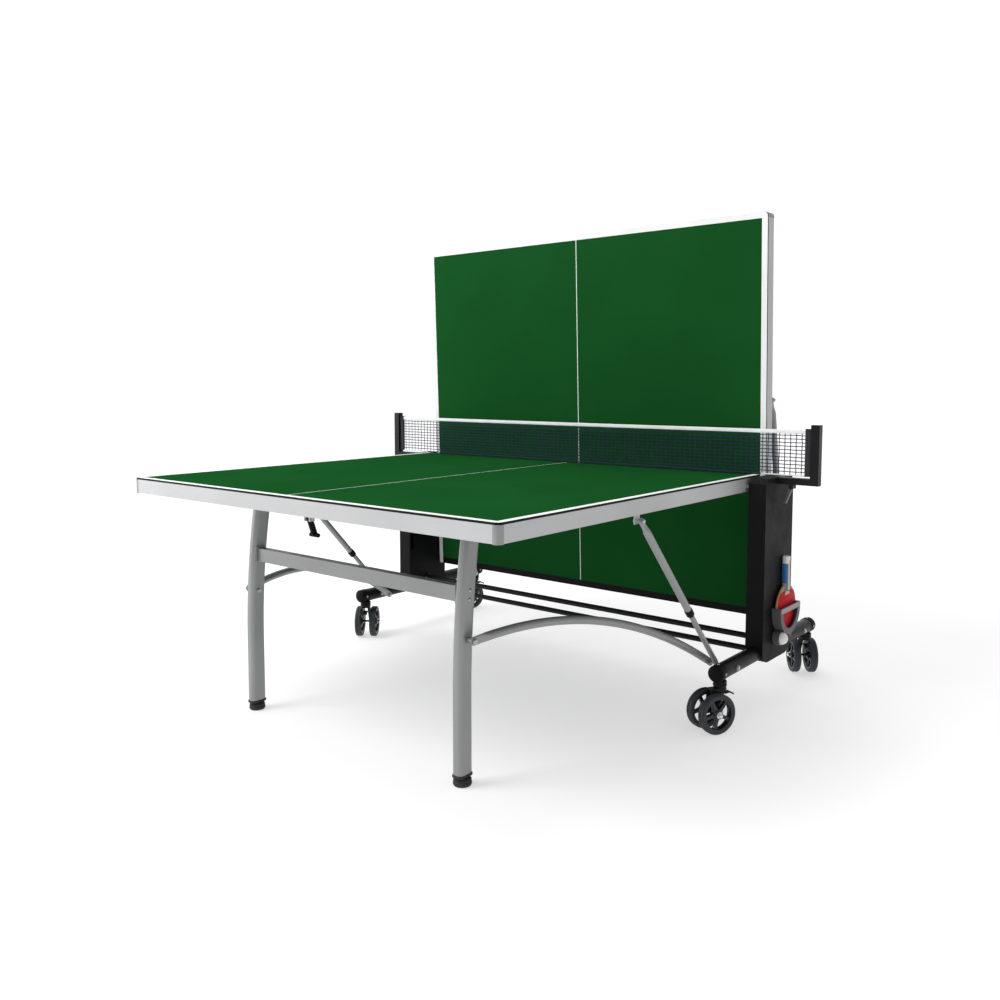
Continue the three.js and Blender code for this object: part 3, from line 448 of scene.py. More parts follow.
# -------------------- the halves
def make_board(end):
    """The board, with its border and centre line as areas of the top face."""
    low, high = play_box("board")
    corner, steps = BOARD_CORNER, 6
    top, side, near, far = high.z, high.x, low.y, high.y
    arc = [(side - corner + corner * math.cos(a), far - corner + corner * math.sin(a))
           for a in (i * math.pi / 2 / steps for i in range(steps + 1))]
    inner_x, inner_near, inner_far, half = side - LINE, near + NET_STRIP, far - LINE, CENTRE_LINE / 2
    outline = [(-side, near), (-inner_x, near), (inner_x, near), (side, near)] + arc
    outline += [(-x, y) for x, y in reversed(arc)]
    inner = [(-inner_x, inner_near), (-half, inner_near), (half, inner_near), (inner_x, inner_near),
             (inner_x, inner_far), (half, inner_far), (-half, inner_far), (-inner_x, inner_far)]
    n = len(outline)
    bottom = n + len(inner)
    points = [(x, y, top) for x, y in outline + inner] + [(x, y, low.z) for x, y in outline]
    right_arc = list(range(4, 4 + len(arc)))
    left_arc = list(range(4 + len(arc), n))
    white = [(0, 1, n, n + 7, left_arc[-1]), (2, 3, right_arc[0], n + 4, n + 3),
             (right_arc[-1], left_arc[0], n + 7, n + 6, n + 5, n + 4), (n + 1, n + 2, n + 5, n + 6)]
    white += [(a, b, n + 4) for a, b in zip(right_arc, right_arc[1:])]
    white += [(a, b, n + 7) for a, b in zip(left_arc, left_arc[1:])]
    greens = [(n, n + 1, n + 6, n + 7), (n + 2, n + 3, n + 4, n + 5)]
    edge = [(i, bottom + i, bottom + (i + 1) % n, (i + 1) % n) for i in range(n)]
    edge.append((1, 2, n + 3, n + 2, n + 1, n))
    piece = Piece(f"{end}_playing_board")
    piece.add(points, greens, green)
    mesh = piece.mesh
    mesh.verts.ensure_lookup_table()
    corners = list(mesh.verts)
    back = [tuple(range(bottom, bottom + n))]
    for faces, material in ((white, white_line), (edge, board_edge), (back, board_back)):
        piece.materials.append(material)
        for indices in faces:
            face = mesh.faces.new([corners[i] for i in indices])
            face.material_index = len(piece.materials) - 1
            face.smooth = True
    piece.finish(f"{end}_half", f"{end}_board", slot="board", place=PLACES[end]["half"], bevel=0.0007)


def make_corner_caps(end):
    """Moulded caps round the outer corners of the apron."""
    board_low, board_high = play_box("board")
    side, far, corner = board_high.x, board_high.y, BOARD_CORNER
    top, bottom = board_low.z - 0.0004, board_low.z - 0.0446
    for way in (-1, 1):
        outward = [((1, 0), (side, far - corner - CAP_REACH))]
        for i in range(9):
            a = i / 8 * math.pi / 2
            n = (math.cos(a), math.sin(a))
            outward.append((n, (side - corner + corner * n[0], far - corner + corner * n[1])))
        outward.append(((0, 1), (side - corner - CAP_REACH, far)))
        rings = []
        for (nx, ny), (x, y) in outward:
            outer = (way * (x + nx * CAP_PROUD), y + ny * CAP_PROUD)
            inner = (way * (x - nx * 0.0004), y - ny * 0.0004)
            under = (way * (x - nx * 0.008), y - ny * 0.008)
            rings.append([(*outer, top), (*inner, top), (*inner, bottom + 0.0009), (*under, bottom + 0.0009),
                          (*under, bottom), (*outer, bottom)])
        piece = Piece(f"{end}_corner_cap_{side_name(end, way)}")
        piece.rings(rings, cap_plastic)
        piece.finish(f"{end}_half", slot="grey_plastic", place=PLACES[end]["half"], bevel=0.0005)


def leg_path(side):
    low, high = side_box("leg", side)
    foot_low, foot_high = side_box("foot", side)
    x, foot_y = (low.x + high.x) / 2, (foot_low.y + foot_high.y) / 2
    top = Vector((x, pivot("leg_fold").y - LEG_TOP_LEAN, high.z))
    start = Vector((x, foot_y, LEG_BEND_START))
    middle = Vector((x, foot_y, (LEG_BEND_START + high.z) / 2))
    path = [Vector((x, foot_y, low.z)), Vector((x, foot_y, LEG_BEND_START * 0.6)), start]
    for i in range(1, 25):
        t = i / 24
        path.append(start * (1 - t) ** 2 + middle * (2 * t * (1 - t)) + top * t * t)
    return path


def leg_line(side, height):
    """The leg's centre at a height."""
    path = leg_path(side)
    for a, b in zip(path, path[1:]):
        if a.z <= height <= b.z:
            return a.lerp(b, (height - a.z) / (b.z - a.z))
    return path[-1]


def make_leg(end, side):
    name = side_name(end, side)
    place = PLACES[end]["legs"]
    low, high = side_box("leg", side)
    width, depth = high.x - low.x, LEG_DEPTH
    path = leg_path(side)
    piece = Piece(f"{end}_leg_tube_{name}")
    piece.sweep(path, rounded(width, depth, LEG_CORNER, 7), silver_paint)
    piece.finish(f"{end}_legs", f"{end}_leg_{name}", slot="silver_paint", place=place, bevel=0.0006, angle=50)



def make_ferrule(end, side):
    """A moulded ferrule round the leg's lower end, and a plug in its top."""
    path = leg_path(side)
    low, high = side_box("leg", side)
    width, depth = high.x - low.x, LEG_DEPTH

    def ring(at, grow, lift, corner):
        outline = rounded(width + 2 * grow, depth + 2 * grow, corner, 7)
        return [(at.x + u, at.y + v, at.z + lift) for u, v in outline]

    piece = Piece(f"{end}_leg_ferrule_{side_name(end, side)}")
    sections = [(0.0, -0.0024), (0.0016, -0.0020), (0.0020, 0.0), (0.0018, 0.0035),
                (0.0008, 0.0050), (0.0, 0.0052)]
    piece.rings([ring(path[0], grow, lift, LEG_CORNER) for grow, lift in sections], foot_rubber)
    plug = [(-0.001, -0.002), (-0.001, 0.001), (-0.003, 0.0025)]
    piece.rings([ring(path[-1], grow, lift, 0.010) for grow, lift in plug], foot_rubber)
    piece.finish(f"{end}_legs", slot="rubber", place=PLACES[end]["legs"], angle=40)


def make_foot(end, side):
    """A ribbed levelling foot under the leg, with factors of its radius against height."""
    name, at = side_name(end, side), leg_path(side)[0]
    low, high = side_box("foot", side)
    radius = (high.x - low.x) / 2
    turned = [(0.86, 0.0), (1.02, 0.0016), (1.10, 0.0050), (1.12, 0.0085), (1.10, 0.0118),
              (1.02, 0.0136), (1.02, 0.0150), (1.07, 0.0160), (1.07, 0.0185), (0.98, 0.0198),
              (0.94, 0.0208), (0.97, 0.0218), (0.97, FOOT_HEIGHT - 0.0050), (0.70, FOOT_HEIGHT - 0.0048)]
    piece = Piece(f"{end}_foot_pad_{name}")
    profile = [(radius * share, z) for share, z in turned]
    piece.lathe(profile, foot_rubber, Matrix.Translation((at.x, at.y, 0)), 48)
    piece.finish(f"{end}_foot_{name}", f"{end}_foot_{name}", slot="rubber",
                 place=PLACES[end]["legs"], angle=35)


def make_leg_hardware(end):
    """Bolts of the legs, brackets of the crossbar and the brace bolts, which all turn with the legs."""
    piece = Piece(f"{end}_leg_bolts")
    low, high = play_box("leg_crossbar")
    middle = (low.z + high.z) / 2
    for side in (-1, 1):
        leg_low, leg_high = side_box("leg", side)
        inner, outer = (leg_low.x, leg_high.x) if side > 0 else (leg_high.x, leg_low.x)
        bolt = leg_line(side, BRACE_BOLT_HEIGHT)
        piece.bar((outer, bolt.y, bolt.z), (outer + side * 0.0175, bolt.y, bolt.z), 0.0075, zinc)
        piece.bolt((inner, bolt.y, bolt.z), (-side, 0, 0), BOLT, zinc)
        for offset in (-0.012, 0.012):
            at = leg_line(side, middle + offset)
            piece.screw((outer, at.y, middle + offset), (side, 0, 0), 0.0055, zinc)
        wall = 0.003
        bracket = rounded(high.y - low.y + 0.014, high.z - low.z + 0.012, 0.004, 3)
        at = leg_line(side, middle)
        plate = [[(inner - side * depth, at.y + u, middle + v) for u, v in bracket]
                 for depth in (0.0, wall)]
        piece.rings(plate, silver_paint)
    piece.finish(f"{end}_legs", slot="steel", place=PLACES[end]["legs"], angle=32)
    dress(f"{end}_leg_crossbar", silver_paint, bevel=0.0016, segments=3)


def flattened(path_at, length, radius, start_flat, end_flat, eye):
    """A tube's centre points and sections, pressed flat and rounded off where an end has an eye."""
    reach_low = -eye if start_flat else 0.0
    reach_high = length + (eye if end_flat else 0.0)
    marks = set()
    for is_flat, base, way in ((start_flat, 0.0, 1), (end_flat, length, -1)):
        if is_flat:
            marks |= {base - way * eye * math.sin(a * math.pi / 12) for a in range(7)}
            marks |= {base + way * (FLAT_LENGTH + FLAT_BLEND) * i / 16 for i in range(17)}
    marks |= {reach_low + (reach_high - reach_low) * i / 48 for i in range(49)}
    ordered = sorted(marks)
    stations = [s for s, following in zip(ordered, ordered[1:] + [1e9]) if following - s > 0.0002]
    path = [path_at(s) for s in stations]
    pressed = min(0.006, radius * 0.9) if radius > ROD_RADIUS else 0.0076

    def section(i):
        s = stations[i]
        flat, tip = 0.0, 1.0
        for is_flat, distance in ((start_flat, s), (end_flat, length - s)):
            if is_flat:
                t = min(1, max(0, (distance - FLAT_LENGTH * 0.6) / FLAT_BLEND))
                flat = max(flat, 1 - t * t * (3 - 2 * t))
                if distance < 0:
                    tip = math.sqrt(max(0.004, 1 - (distance / eye) ** 2))
        thin = radius + (pressed / 2 - radius) * flat
        tall = radius + (eye - radius) * flat
        power = 1 - 0.45 * flat
        return [(thin * math.copysign(abs(c) ** power, c), tall * tip * math.copysign(abs(d) ** power, d))
                for c, d in circle(1, 28)]

    return path, section


def make_brace(end, side):
    name = side_name(end, side)
    leg_low, leg_high = side_box("leg", side)
    rod_low, rod_high = side_box("strut_rod", side)
    bolt, link = leg_line(side, BRACE_BOLT_HEIGHT), pivot("brace_swing")
    outer = leg_high.x if side > 0 else leg_low.x
    start = Vector((outer + side * BRACE_OFFSET, bolt.y, bolt.z))
    stop = Vector(((rod_low.x + rod_high.x) / 2 - side * BRACE_OFFSET, link.y, link.z))
    control = (start + stop) / 2 + Vector((0, 0, 2 * BRACE_RISE))
    parts = [i / 200 for i in range(201)]
    curve = [start * (1 - t) ** 2 + control * (2 * t * (1 - t)) + stop * t * t for t in parts]
    along = [0.0]
    for a, b in zip(curve, curve[1:]):
        along.append(along[-1] + (b - a).length)

    def at(s):
        if s <= 0:
            return curve[0] + (curve[1] - curve[0]).normalized() * s
        if s >= along[-1]:
            return curve[-1] + (curve[-1] - curve[-2]).normalized() * (s - along[-1])
        i = next(k for k in range(1, len(along)) if along[k] >= s)
        return curve[i - 1].lerp(curve[i], (s - along[i - 1]) / (along[i] - along[i - 1]))

    path, section = flattened(at, along[-1], BRACE_RADIUS, True, True, EYE_RADIUS + 0.001)
    piece = Piece(f"{end}_brace_tube_{name}")
    piece.sweep(path, section, silver_paint)
    piece.bolt((start.x + side * 0.003, start.y, start.z), (side, 0, 0), BOLT, zinc)
    piece.bolt((stop.x - side * 0.003, stop.y, stop.z), (-side, 0, 0), BOLT, zinc)
    piece.bar(stop, (stop.x + side * (BRACE_OFFSET - 0.0068), stop.y, stop.z), BOLT / 2, zinc)
    piece.finish(f"{end}_braces", f"{end}_brace_{name}", slot="silver_paint",
                 place=PLACES[end]["braces"], angle=40)


def make_strut(end, side):
    """A tube on the half, and a rod that slides out of it to the rail."""
    name = side_name(end, side)
    rod_low, rod_high = side_box("strut_rod", side)
    x = (rod_low.x + rod_high.x) / 2
    link, far = pivot("brace_swing"), pivot("strut_swing")
    low, high = Vector((x, link.y, link.z)), Vector((x, far.y, far.z))
    direction = (high - low).normalized()
    path, section = flattened(lambda s: low + direction * s, ROD_LENGTH, ROD_RADIUS, True, False, EYE_RADIUS)
    rod = Piece(f"{end}_strut_inner_{name}")
    rod.sweep(path, section, silver_paint)
    rod.finish(f"{end}_strut_rods", f"{end}_strut_rod_{name}", slot="steel",
               place=PLACES[end]["strut_rods"], angle=40)

    path, section = flattened(lambda s: high - direction * s, STRUT_TUBE_LENGTH, STRUT_TUBE_RADIUS,
                              True, False, STRUT_TUBE_RADIUS - 0.0015)
    tube = Piece(f"{end}_strut_outer_{name}")
    tube.sweep(path, section, silver_paint)
    mouth = high - direction * STRUT_TUBE_LENGTH
    r = STRUT_TUBE_RADIUS
    bush = [(r - 0.004, -0.004), (r + 0.0006, -0.0035), (r + 0.0016, -0.0015), (r + 0.0016, 0.020),
            (r + 0.0004, 0.024), (r - 0.001, 0.0245)]
    tube.lathe(bush, black_plastic, aim(mouth, direction), 36)
    tube.finish(f"{end}_strut_tubes", f"{end}_strut_tube_{name}", slot="silver_paint",
                place=PLACES[end]["strut_tubes"], angle=40)


def make_half_hardware(end):
    """Pivot bolts of the legs and struts, and of the release lever."""
    piece = Piece(f"{end}_frame_bolts")
    leg, strut, lever = pivot("leg_fold"), pivot("strut_swing"), pivot("lever_pull")
    for side in (-1, 1):
        leg_low, leg_high = side_box("leg", side)
        for face, way in ((leg_low.x - 0.005, -1), (leg_high.x + 0.005, 1)):
            piece.bolt((face, leg.y, leg.z), (way, 0, 0), BOLT, zinc)
        rod_low, rod_high = side_box("strut_rod", side)
        lug = (rod_low.x + rod_high.x) / 2 - side * (STRUT_TUBE_RADIUS + 0.005)
        piece.bolt((lug, strut.y, strut.z), (-side, 0, 0), BOLT, zinc)
        eye = rod_high.x if side > 0 else rod_low.x
        piece.bolt((eye + side * 0.0004, strut.y, strut.z), (side, 0, 0), BOLT * 0.8, zinc)
    lever_low, lever_high = play_box("release_lever")
    middle = (lever_low.x + lever_high.x) / 2
    for way in (-1, 1):
        piece.bolt((middle + way * 0.012, lever.y, lever.z), (way, 0, 0), BOLT * 0.7, zinc)
    piece.finish(f"{end}_half", slot="steel", place=PLACES[end]["half"], angle=32)
    dress(f"{end}_apron_frame", apron_paint, bevel=0.0009)
    dress(f"{end}_release_lever", black_plastic, bevel=0.0012, segments=3)
    for name in ("left", "right"):
        dress(f"{end}_slide_shoe_{name}", zinc, bevel=0.0006)


for end in ("front", "rear"):
    make_board(end)
    make_corner_caps(end)
    make_half_hardware(end)
    make_leg_hardware(end)
    for side in (-1, 1):
        make_leg(end, side)
        make_ferrule(end, side)
        make_foot(end, side)
        make_brace(end, side)
        make_strut(end, side)


# -------------------- the undercarriage
link = pivot("brace_swing")


def make_rail(side, name):
    low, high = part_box(f"rail_{name}")
    radius = (high.z - low.z) / 2
    x = high.x - radius if side > 0 else low.x + radius
    z, reach = (low.z + high.z) / 2, (high.y - low.y) / 2
    ends = [Vector((x, net_y + reach * t, z)) for t in (-1, -0.5, 0, 0.5, 1)]
    piece = Piece(f"rail_tube_{name}")
    piece.sweep(ends, circle(radius, 56), black_metal)
    stub_end = (low.x if side > 0 else high.x)
    for way in (-1, 1):
        at = (x - side * (radius - 0.002), net_y + way * link.y, link.z)
        piece.bar(at, (stub_end, at[1], at[2]), BOLT / 2, zinc)
        piece.lathe(((0.009, 0), (0.009, 0.002), (0.0075, 0.0026)), zinc,
                    aim((x - side * (radius - 0.0008), at[1], at[2]), (-side, 0, 0)), 28)
        piece.bolt((x + side * (radius - 0.0006), at[1], at[2]), (side, 0, 0), BOLT, zinc)
    piece.finish("undercarriage", f"rail_{name}", slot="black_metal", angle=40)
    for way, end_name in ((-1, "front"), (1, "rear")):
        cap = Piece(f"rail_cap_{end_name}_{name}")
        dome = [(radius + 0.0010, -0.030), (radius + 0.0014, -0.0285), (radius + 0.0014, -0.002)]
        turns = [i * math.pi / 20 for i in range(10)]
        dome += [(radius * math.cos(a) + 0.0012, 0.011 * math.sin(a)) for a in turns]
        tip = Vector((x, net_y + way * reach, z))
        cap.lathe(dome, black_plastic, aim(tip, (0, way, 0)), 56)
        for direction in ((0, 0, 1), (side, 0, 0), (-side, 0, 0)):
            spot = tip - Vector((0, way * 0.016, 0)) + Vector(direction) * (radius + 0.0012)
            cap.screw(spot, direction, 0.0046, zinc)
        cap.finish("undercarriage", slot="black_plastic", angle=40)


def make_cross_tube(level):
    low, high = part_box(f"{level}_cross_tube")
    z, reach = (low.z + high.z) / 2, (high.x - low.x) / 2
    piece = Piece(f"{level}_cross_bar")
    piece.bar((-reach, net_y, z), (reach, net_y, z), 0.010, black_metal, 40)
    flange = (high.z - low.z) / 2
    for side in (-1, 1):
        rim = ((0.0102, -0.010), (0.0125, -0.008), (0.0130, -0.0045), (flange, -0.004), (flange, 0))
        piece.lathe(rim, black_metal, aim((side * reach, net_y, z), (side, 0, 0)), 40)
        for way in (-1, 1):
            spot = (side * (reach - 0.004), net_y + way * (flange - 0.004), z)
            piece.screw(spot, (-side, 0, 0), 0.003, zinc)
    piece.finish("undercarriage", f"{level}_cross_tube", slot="black_metal", angle=40)


for side, name in ((-1, "left"), (1, "right")):
    make_rail(side, name)
    dress(f"casing_{name}", black_plastic, bevel=0.0030, segments=3)
for level in ("upper", "lower"):
    make_cross_tube(level)


# -------------------- casters and wheels
def wheel_mesh(radius, width):
    """A tyre on a hub with five spokes, about the Z axis."""
    piece = Piece("wheel")
    half, seat = width / 2, radius * 0.80
    shoulder = 0.0065
    tyre = [(seat, -half * 0.86), (seat + 0.002, -half * 0.94), (radius - shoulder, -half)]
    tyre += [(radius - shoulder + shoulder * math.sin(a), -half + shoulder * (1 - math.cos(a)))
             for a in (0.4, 0.8, 1.2, math.pi / 2)]
    groove = [(radius, -0.0035), (radius - 0.0010, -0.0028), (radius - 0.0010, -0.0012), (radius, -0.0005)]
    tyre += groove
    tyre += [(r, -z) for r, z in reversed(tyre)]
    piece.lathe(tyre, tyre_rubber, count=64, closed=True)
    rim = [(seat * 0.90, -half * 0.60), (seat * 0.93, -half * 0.84), (seat + 0.0004, -half * 0.88)]
    rim += [(r, -z) for r, z in reversed(rim)]
    piece.lathe(rim, hub_plastic, count=64, closed=True)
    boss, bore = radius * 0.23, BOLT / 2 + 0.0004
    hub = [(bore, -half * 0.96), (boss * 0.86, -half * 0.96), (boss, -half * 0.84)]
    hub += [(r, -z) for r, z in reversed(hub)]
    piece.lathe(hub, hub_plastic, count=40, closed=True)
    for spoke in range(5):
        turn = Matrix.Rotation(spoke * TAU / 5, 4, "Z")
        spans = ((boss * 0.9, 0.0105, 0.62), (boss * 1.6, 0.0072, 0.50), (seat * 0.78, 0.0066, 0.46),
                 (seat * 0.94, 0.0110, 0.52))
        rings = [[(x, u, v) for u, v in rounded(2 * w * 0.8, 2 * half * deep, 0.0022, 3)]
                 for x, w, deep in spans]
        piece.rings(rings, hub_plastic, turn)
    bmesh.ops.recalc_face_normals(piece.mesh, faces=piece.mesh.faces)
    data = bpy.data.meshes.new("wheel")
    piece.mesh.to_mesh(data)
    piece.mesh.free()
    for material in piece.materials:
        data.materials.append(material)
    data.set_sharp_from_angle(angle=math.radians(38))
    return data


tread_low, tread_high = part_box("front_right_wheel_a")
wheel_radius = (tread_high.z - tread_low.z) / 2
WHEEL_WIDTH = 0.026
wheel_data = wheel_mesh(wheel_radius, WHEEL_WIDTH)

for number, corner in enumerate(("front_right", "rear_right", "front_left", "rear_left")):
    swivel = Vector(joints[f"{corner}_swivel"]["pos_m"])
    rail_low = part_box(f"rail_{corner.split('_')[1]}")[0]
    trim = Piece(f"{corner}_caster_trim")
    top = rail_low.z
    bearing = [(0.0165, -0.020), (0.0205, -0.018), (0.0215, -0.012), (0.0205, -0.0095), (0.0180, -0.009),
               (0.0180, -0.007), (0.0210, -0.0065), (0.0210, -0.0015), (0.0190, 0.0)]
    trim.lathe(bearing, black_metal, Matrix.Translation((swivel.x, swivel.y, top)), 48)
    centres = []
    for letter in ("a", "b"):
        joint = joints[f"{corner}_wheel_{letter}_spin"]
        centre, axis = Vector(joint["pos_m"]), Vector(joint["axis"])
        centres.append(centre)
        data = wheel_data.copy()
        data.transform(aim(centre, axis) @ Matrix.Rotation(0.5 * number + 0.3, 4, "Z"))
        wheel = new_object(f"{corner}_wheel_{letter}_tyre_and_hub", data)
        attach(wheel, f"{corner}_wheel_{letter}")
        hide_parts(f"{corner}_wheel_{letter}")
    along = (centres[1] - centres[0]).normalized()
    for centre, way in ((centres[0], -1), (centres[1], 1)):
        outward = along * way
        face = centre + outward * (WHEEL_WIDTH / 2 + 0.0008)
        here = aim(face, outward)
        trim.lathe(((0.0100, 0), (0.0100, 0.0012)), chrome, here, 32)
        nut = ((0.0082, 0.0012), (0.0082, 0.0066), (0.00738, 0.0074))
        trim.rings([[(x, y, z) for x, y in circle(r, 6)] for r, z in nut], chrome, here)
        trim.lathe([(0.0066 * math.cos(a), 0.0072 + 0.0045 * math.sin(a)) for a in (0, 0.4, 0.8, 1.2, 1.5)],
                   chrome, here, 32)
    trail = (centres[0] + centres[1]) / 2 - Vector((swivel.x, swivel.y, centres[0].z))
    trail.z = 0
    trail.normalize()
    pedal = Vector((swivel.x, swivel.y, top - 0.040)) - trail * 0.012
    steps = [pedal, pedal - trail * 0.018 + Vector((0, 0, 0.002)),
             pedal - trail * 0.032 - Vector((0, 0, 0.006))]
    trim.sweep(steps, rounded(0.026, 0.005, 0.002, 3), black_metal, across=along)
    trim.finish(f"{corner}_caster", slot="black_metal", angle=35)
    dress(f"{corner}_caster_fork", black_metal, bevel=0.0007)


# -------------------- the net
net_half = net_high.x - SLEEVE * 0.6
tape_sag = 0.0012


def sag(x):
    return tape_sag * (1 - (x / net_half) ** 2)


def make_net():
    """A woven mesh of flat strands, passing over and under in turn."""
    piece = Piece("net_mesh")
    columns = round(2 * net_half / MESH_ACROSS)
    bottom, top = net_low.z + 0.002, net_high.z - TAPE * 0.5
    rows = round((top - bottom) / MESH_UP)
    across = [-net_half + 2 * net_half * i / columns for i in range(columns + 1)]
    up = [bottom + (top - bottom) * k / rows for k in range(rows + 1)]
    strand = rounded(STRAND, STRAND * 0.5, STRAND * 0.2, 1)

    def weave(i, k, way):
        return way * 0.0006 * (1 if (i + k) % 2 else -1)

    area = 0.0
    for i, x in enumerate(across):
        drift = 0.0007 * math.sin(i * 2.4)
        path = [Vector((x + drift * math.sin(k * 1.3), net_y + weave(i, k, 1), z - sag(x) * k / rows))
                for k, z in enumerate(up)]
        piece.sweep(path, strand, net_thread)
        area += (top - bottom) * STRAND
    for k, z in enumerate(up):
        path = [Vector((x, net_y + weave(i, k, -1), z - sag(x) * k / rows + 0.0004 * math.sin(i * 1.7 + k)))
                for i, x in enumerate(across)]
        piece.sweep(path, strand, net_thread, across=(0, 0, 1))
        area += 2 * net_half * STRAND
    return piece.finish("undercarriage", "net", slot="net", angle=60), area, top - bottom


def make_tapes():
    """The folded white tape along the top and the narrow one along the bottom."""
    piece = Piece("net_tapes")
    count = 80
    line = [-net_half + 2 * net_half * i / count for i in range(count + 1)]
    top = [Vector((x, net_y + 0.0005 * math.sin(x * 23), net_high.z - TAPE / 2 - sag(x))) for x in line]
    piece.sweep(top, rounded(0.0046, TAPE, 0.0020, 3), net_tape, across=(0, 1, 0))
    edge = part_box("front_board")[1].x + 0.004
    spans = ((-net_half, -edge, net_tape), (-edge, edge, net_thread), (edge, net_half, net_tape))
    for start, stop, material in spans:
        low = [Vector((start + (stop - start) * i / 20, net_y, net_low.z + 0.0026)) for i in range(21)]
        piece.sweep(low, rounded(0.0028, 0.0046, 0.0012, 3), material, across=(0, 1, 0))
    return piece.finish("undercarriage", slot="net", angle=50)


def make_sleeve(side, name):
    """The ribbed cloth sleeve that holds the net's end on its post."""
    piece = Piece(f"net_sleeve_{name}")
    edge = net_high.x * side
    ribs, path, widths = 24, [], []
    bottom, top = net_low.z + 0.001, net_high.z + 0.004
    for i in range(2 * ribs + 1):
        path.append(Vector((edge - side * SLEEVE / 2, net_y, bottom + (top - bottom) * i / (2 * ribs))))
        widths.append(1.0 if i % 2 else 0.90)
    outline = rounded(SLEEVE, 0.0096, 0.0042, 4)

    def section(i):
        return [(u * (0.94 + 0.06 * widths[i]), v * widths[i]) for u, v in outline]

    piece.sweep(path, section, sleeve_cloth)
    piece.finish("undercarriage", slot="net", angle=70)


net_mesh, strand_area, net_tall = make_net()
tapes = make_tapes()
for side, name in ((-1, "left"), (1, "right")):
    make_sleeve(side, name)
    dress(f"net_post_{name}", black_metal, bevel=0.0022, segments=3)
    dress(f"net_lever_{name}", grey_plastic, bevel=0.0014, segments=3)


# -------------------- bat, ball and holder
def make_bat():
    low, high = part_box("bat")
    middle_y = (low.y + high.y) / 2
    width, tall = high.y - low.y, BLADE_HEIGHT
    head_z = low.z + tall / 2
    x = (low.x + high.x) / 2
    piece = Piece("bat_blade_and_grip")
    place = Matrix(((0, 0, 1, x), (1, 0, 0, middle_y), (0, 1, 0, head_z), (0, 0, 0, 1)))
    blade = [(width / 2 * math.cos(a), tall / 2 * math.sin(a)) for a in (i * TAU / 72 for i in range(72))]
    core = BLADE_CORE

    def rim(outline, levels, material):
        piece.rings([[(u * k, v * k, z) for u, v in outline] for k, z in levels], material, place)

    rim(blade, ((0.985, -core), (1.0, -core * 0.6), (1.0, core * 0.6), (0.985, core)), bat_wood)
    cut_height = tall * 0.5 - 0.030
    face = [(u, min(v, cut_height + 0.010 * math.cos(u / width * math.pi))) for u, v in blade]
    for way in (-1, 1):
        levels = ((0.985, way * core), (0.985, way * (core + 0.0018)), (0.975, way * (core + 0.0022)))
        rim(face, levels, red_rubber)
    neck = [(0.019, tall / 2 - 0.034), (0.0145, tall / 2 - 0.020), (0.0135, tall / 2 + 0.004)]
    outline = [(-u, v) for u, v in neck] + [(u, v) for u, v in reversed(neck)]
    piece.prism(outline, -0.0062, 0.0062, bat_wood, place)
    top = high.z - head_z
    grip_start = tall / 2 - 0.022
    stations = [0, 0.04, 0.2, 0.5, 0.8, 0.94, 1.0]
    widths = [0.0128, 0.0135, 0.0128, 0.0124, 0.0134, 0.0140, 0.0128]
    rows = [(grip_start + (top - grip_start) * t, w) for t, w in zip(stations, widths)]
    for band, material in ((rows[:-2], grip_blue), (rows[-3:], grip_white)):
        piece.rings([[(u, v, w) for u, w in rounded(2 * w, 0.0208, 0.0075, 5)] for v, w in band],
                    material, place)
    for way in (-1, 1):
        for offset, material, wide in ((0.0, grip_yellow, 0.0030), (0.0058, grip_white, 0.0012),
                                       (-0.0058, grip_white, 0.0012)):
            strip = [(offset - wide, grip_start + 0.004), (offset + wide, grip_start + 0.004),
                     (offset + wide, top - 0.012), (offset - wide, top - 0.012)]
            near, far_side = sorted((way * 0.0100, way * 0.01075))
            piece.prism(strip, near, far_side, material, place)
    piece.finish("bat", "bat", slot="bat", bevel=0.0, angle=32)


def make_ball():
    low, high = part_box("ball")
    radius, centre = (high.z - low.z) / 2, (low + high) / 2
    profile = [(max(radius * math.cos(a), 0.00005), radius * math.sin(a))
               for a in (-math.pi / 2 + math.pi * i / 32 for i in range(33))]
    seam = [(r + (0.00012 if abs(z) < 0.0006 else 0), z) for r, z in profile]
    piece = Piece("ball_shell")
    piece.lathe(seam, ball_white, aim(centre, (0.4, 0.3, 0.85)), 48)
    piece.finish("ball", "ball", slot="ball", angle=60)


def make_strap():
    """A paler band across the front of the pocket."""
    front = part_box("bat_holder")[1].x
    bat_low, bat_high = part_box("bat")
    middle, top = (bat_low.y + bat_high.y) / 2, bat_low.z + 0.088
    reach = (bat_high.y - bat_low.y) / 2 + 0.004
    left, right, under = middle - reach, middle + reach, top - 0.017
    face = [(left, under), (right, under), (right, top), (left, top)]
    piece = Piece("bat_holder_strap")
    piece.rings([[(front + depth, y, z) for y, z in face] for depth in (-0.0004, 0.0016)], strap_plastic)
    piece.finish("undercarriage", slot="grey_plastic", bevel=0.0006)


make_bat()
make_ball()
make_strap()
dress("bat_holder", grey_plastic, bevel=0.0012, segments=3)


# -------------------- floor, light and camera
def make_floor():
    """A plain pale floor with a glow of its own, a little brighter far off."""
    size = 60
    data = bpy.data.meshes.new("floor")
    corners = [(-size, -size, 0), (size, -size, 0), (size, size, 0), (-size, size, 0)]
    data.from_pydata(corners, [], [(0, 1, 2, 3)])
    floor = new_object("floor", data)
    paint = surface("studio_floor", (0.50, 0.50, 0.50), 0.9, grain=0.004, depth=0.00001, patches=2.0,
                    uneven=0.03, Specular_IOR_Level=0.0, Emission_Color=(1, 1, 1, 1))
    away = paint.node_tree.nodes.new("ShaderNodeVectorMath")
    away.operation = "LENGTH"
    paint.node_tree.links.new(paint.node_tree.nodes["where"].outputs["Object"], away.inputs[0])
    connect(paint, remap(paint, away.outputs["Value"], *FLOOR_GLOW, 2.0, 9.0), "Emission Strength")
    data.materials.append(paint)


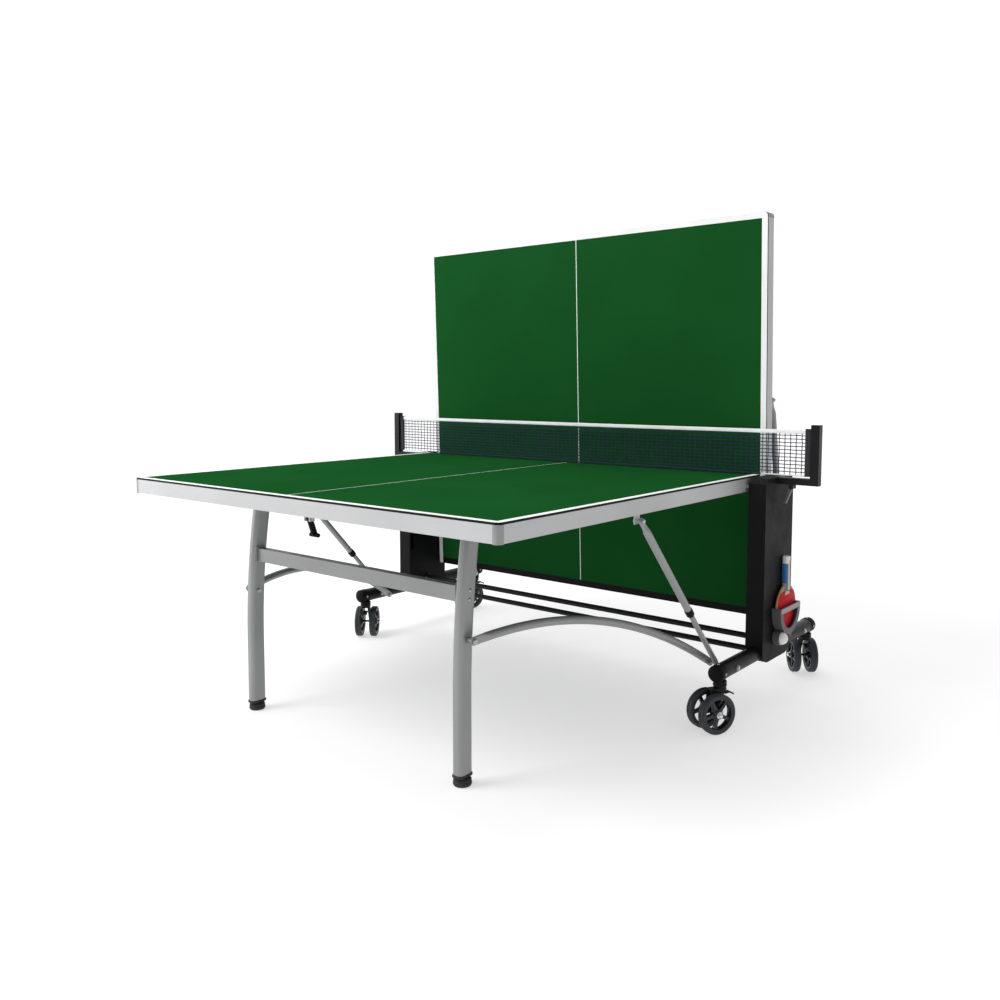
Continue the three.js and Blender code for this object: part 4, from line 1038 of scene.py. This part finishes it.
def make_sky(behind, before, towards):
    """Even sky light, at one strength behind the table and a lower one in front of it."""
    world = bpy.data.worlds.new("studio")
    bpy.context.scene.world = world
    world.use_nodes = True
    nodes, links = world.node_tree.nodes, world.node_tree.links
    where = nodes.new("ShaderNodeTexCoord")
    facing = nodes.new("ShaderNodeVectorMath")
    facing.operation = "DOT_PRODUCT"
    facing.inputs[1].default_value = towards
    ramp = nodes.new("ShaderNodeMapRange")
    ramp.interpolation_type = "SMOOTHSTEP"
    for socket, value in (("From Min", -0.2), ("From Max", 0.55), ("To Min", before), ("To Max", behind)):
        ramp.inputs[socket].default_value = value
    links.new(where.outputs["Generated"], facing.inputs[0])
    links.new(facing.outputs["Value"], ramp.inputs["Value"])
    links.new(ramp.outputs["Result"], nodes["Background"].inputs["Strength"])
    nodes["Background"].inputs["Color"].default_value = (1, 1, 1, 1)


def add_light(name, at, target, size, power):
    lamp = bpy.data.lights.new(name, "AREA")
    lamp.size, lamp.energy = size, power
    obj = new_object(name, lamp)
    obj.location = at
    obj.rotation_mode = "QUATERNION"
    obj.rotation_quaternion = (Vector(target) - Vector(at)).to_track_quat("-Z", "Y")


def make_camera(at, azimuth, elevation, focal, shift):
    """Looks from the right and the front; focal is the focal length as a share of the picture's width."""
    data = bpy.data.cameras.new("camera")
    data.sensor_width = 36
    data.lens = 36 * focal
    data.shift_y = shift
    obj = new_object("camera", data)
    a, e = math.radians(azimuth), math.radians(elevation)
    back = Vector((math.sin(a) * math.cos(e), -math.cos(a) * math.cos(e), math.sin(e)))
    obj.location = at
    obj.rotation_mode = "QUATERNION"
    obj.rotation_quaternion = (-back).to_track_quat("-Z", "Y")
    bpy.context.scene.camera = obj


make_floor()
make_sky(behind=1.08, before=0.50, towards=(-0.84, 0.54, -0.1))
centre = (0, 0, 0.6)
add_light("key", (-2.2, -3.6, 4.6), centre, 2.4, 195)
add_light("rim", (-4.6, -2.6, 1.3), (0, -0.7, 0.4), 1.6, 45)
add_light("top", (-0.6, 0.0, 5.0), centre, 3.2, 60)
bpy.context.scene.view_settings.view_transform = "Standard"
camera_at = (2.0173, net_y - 2.8936, 1.0648)
make_camera(camera_at, azimuth=39.388, elevation=4.63, focal=0.91357, shift=-0.0434)
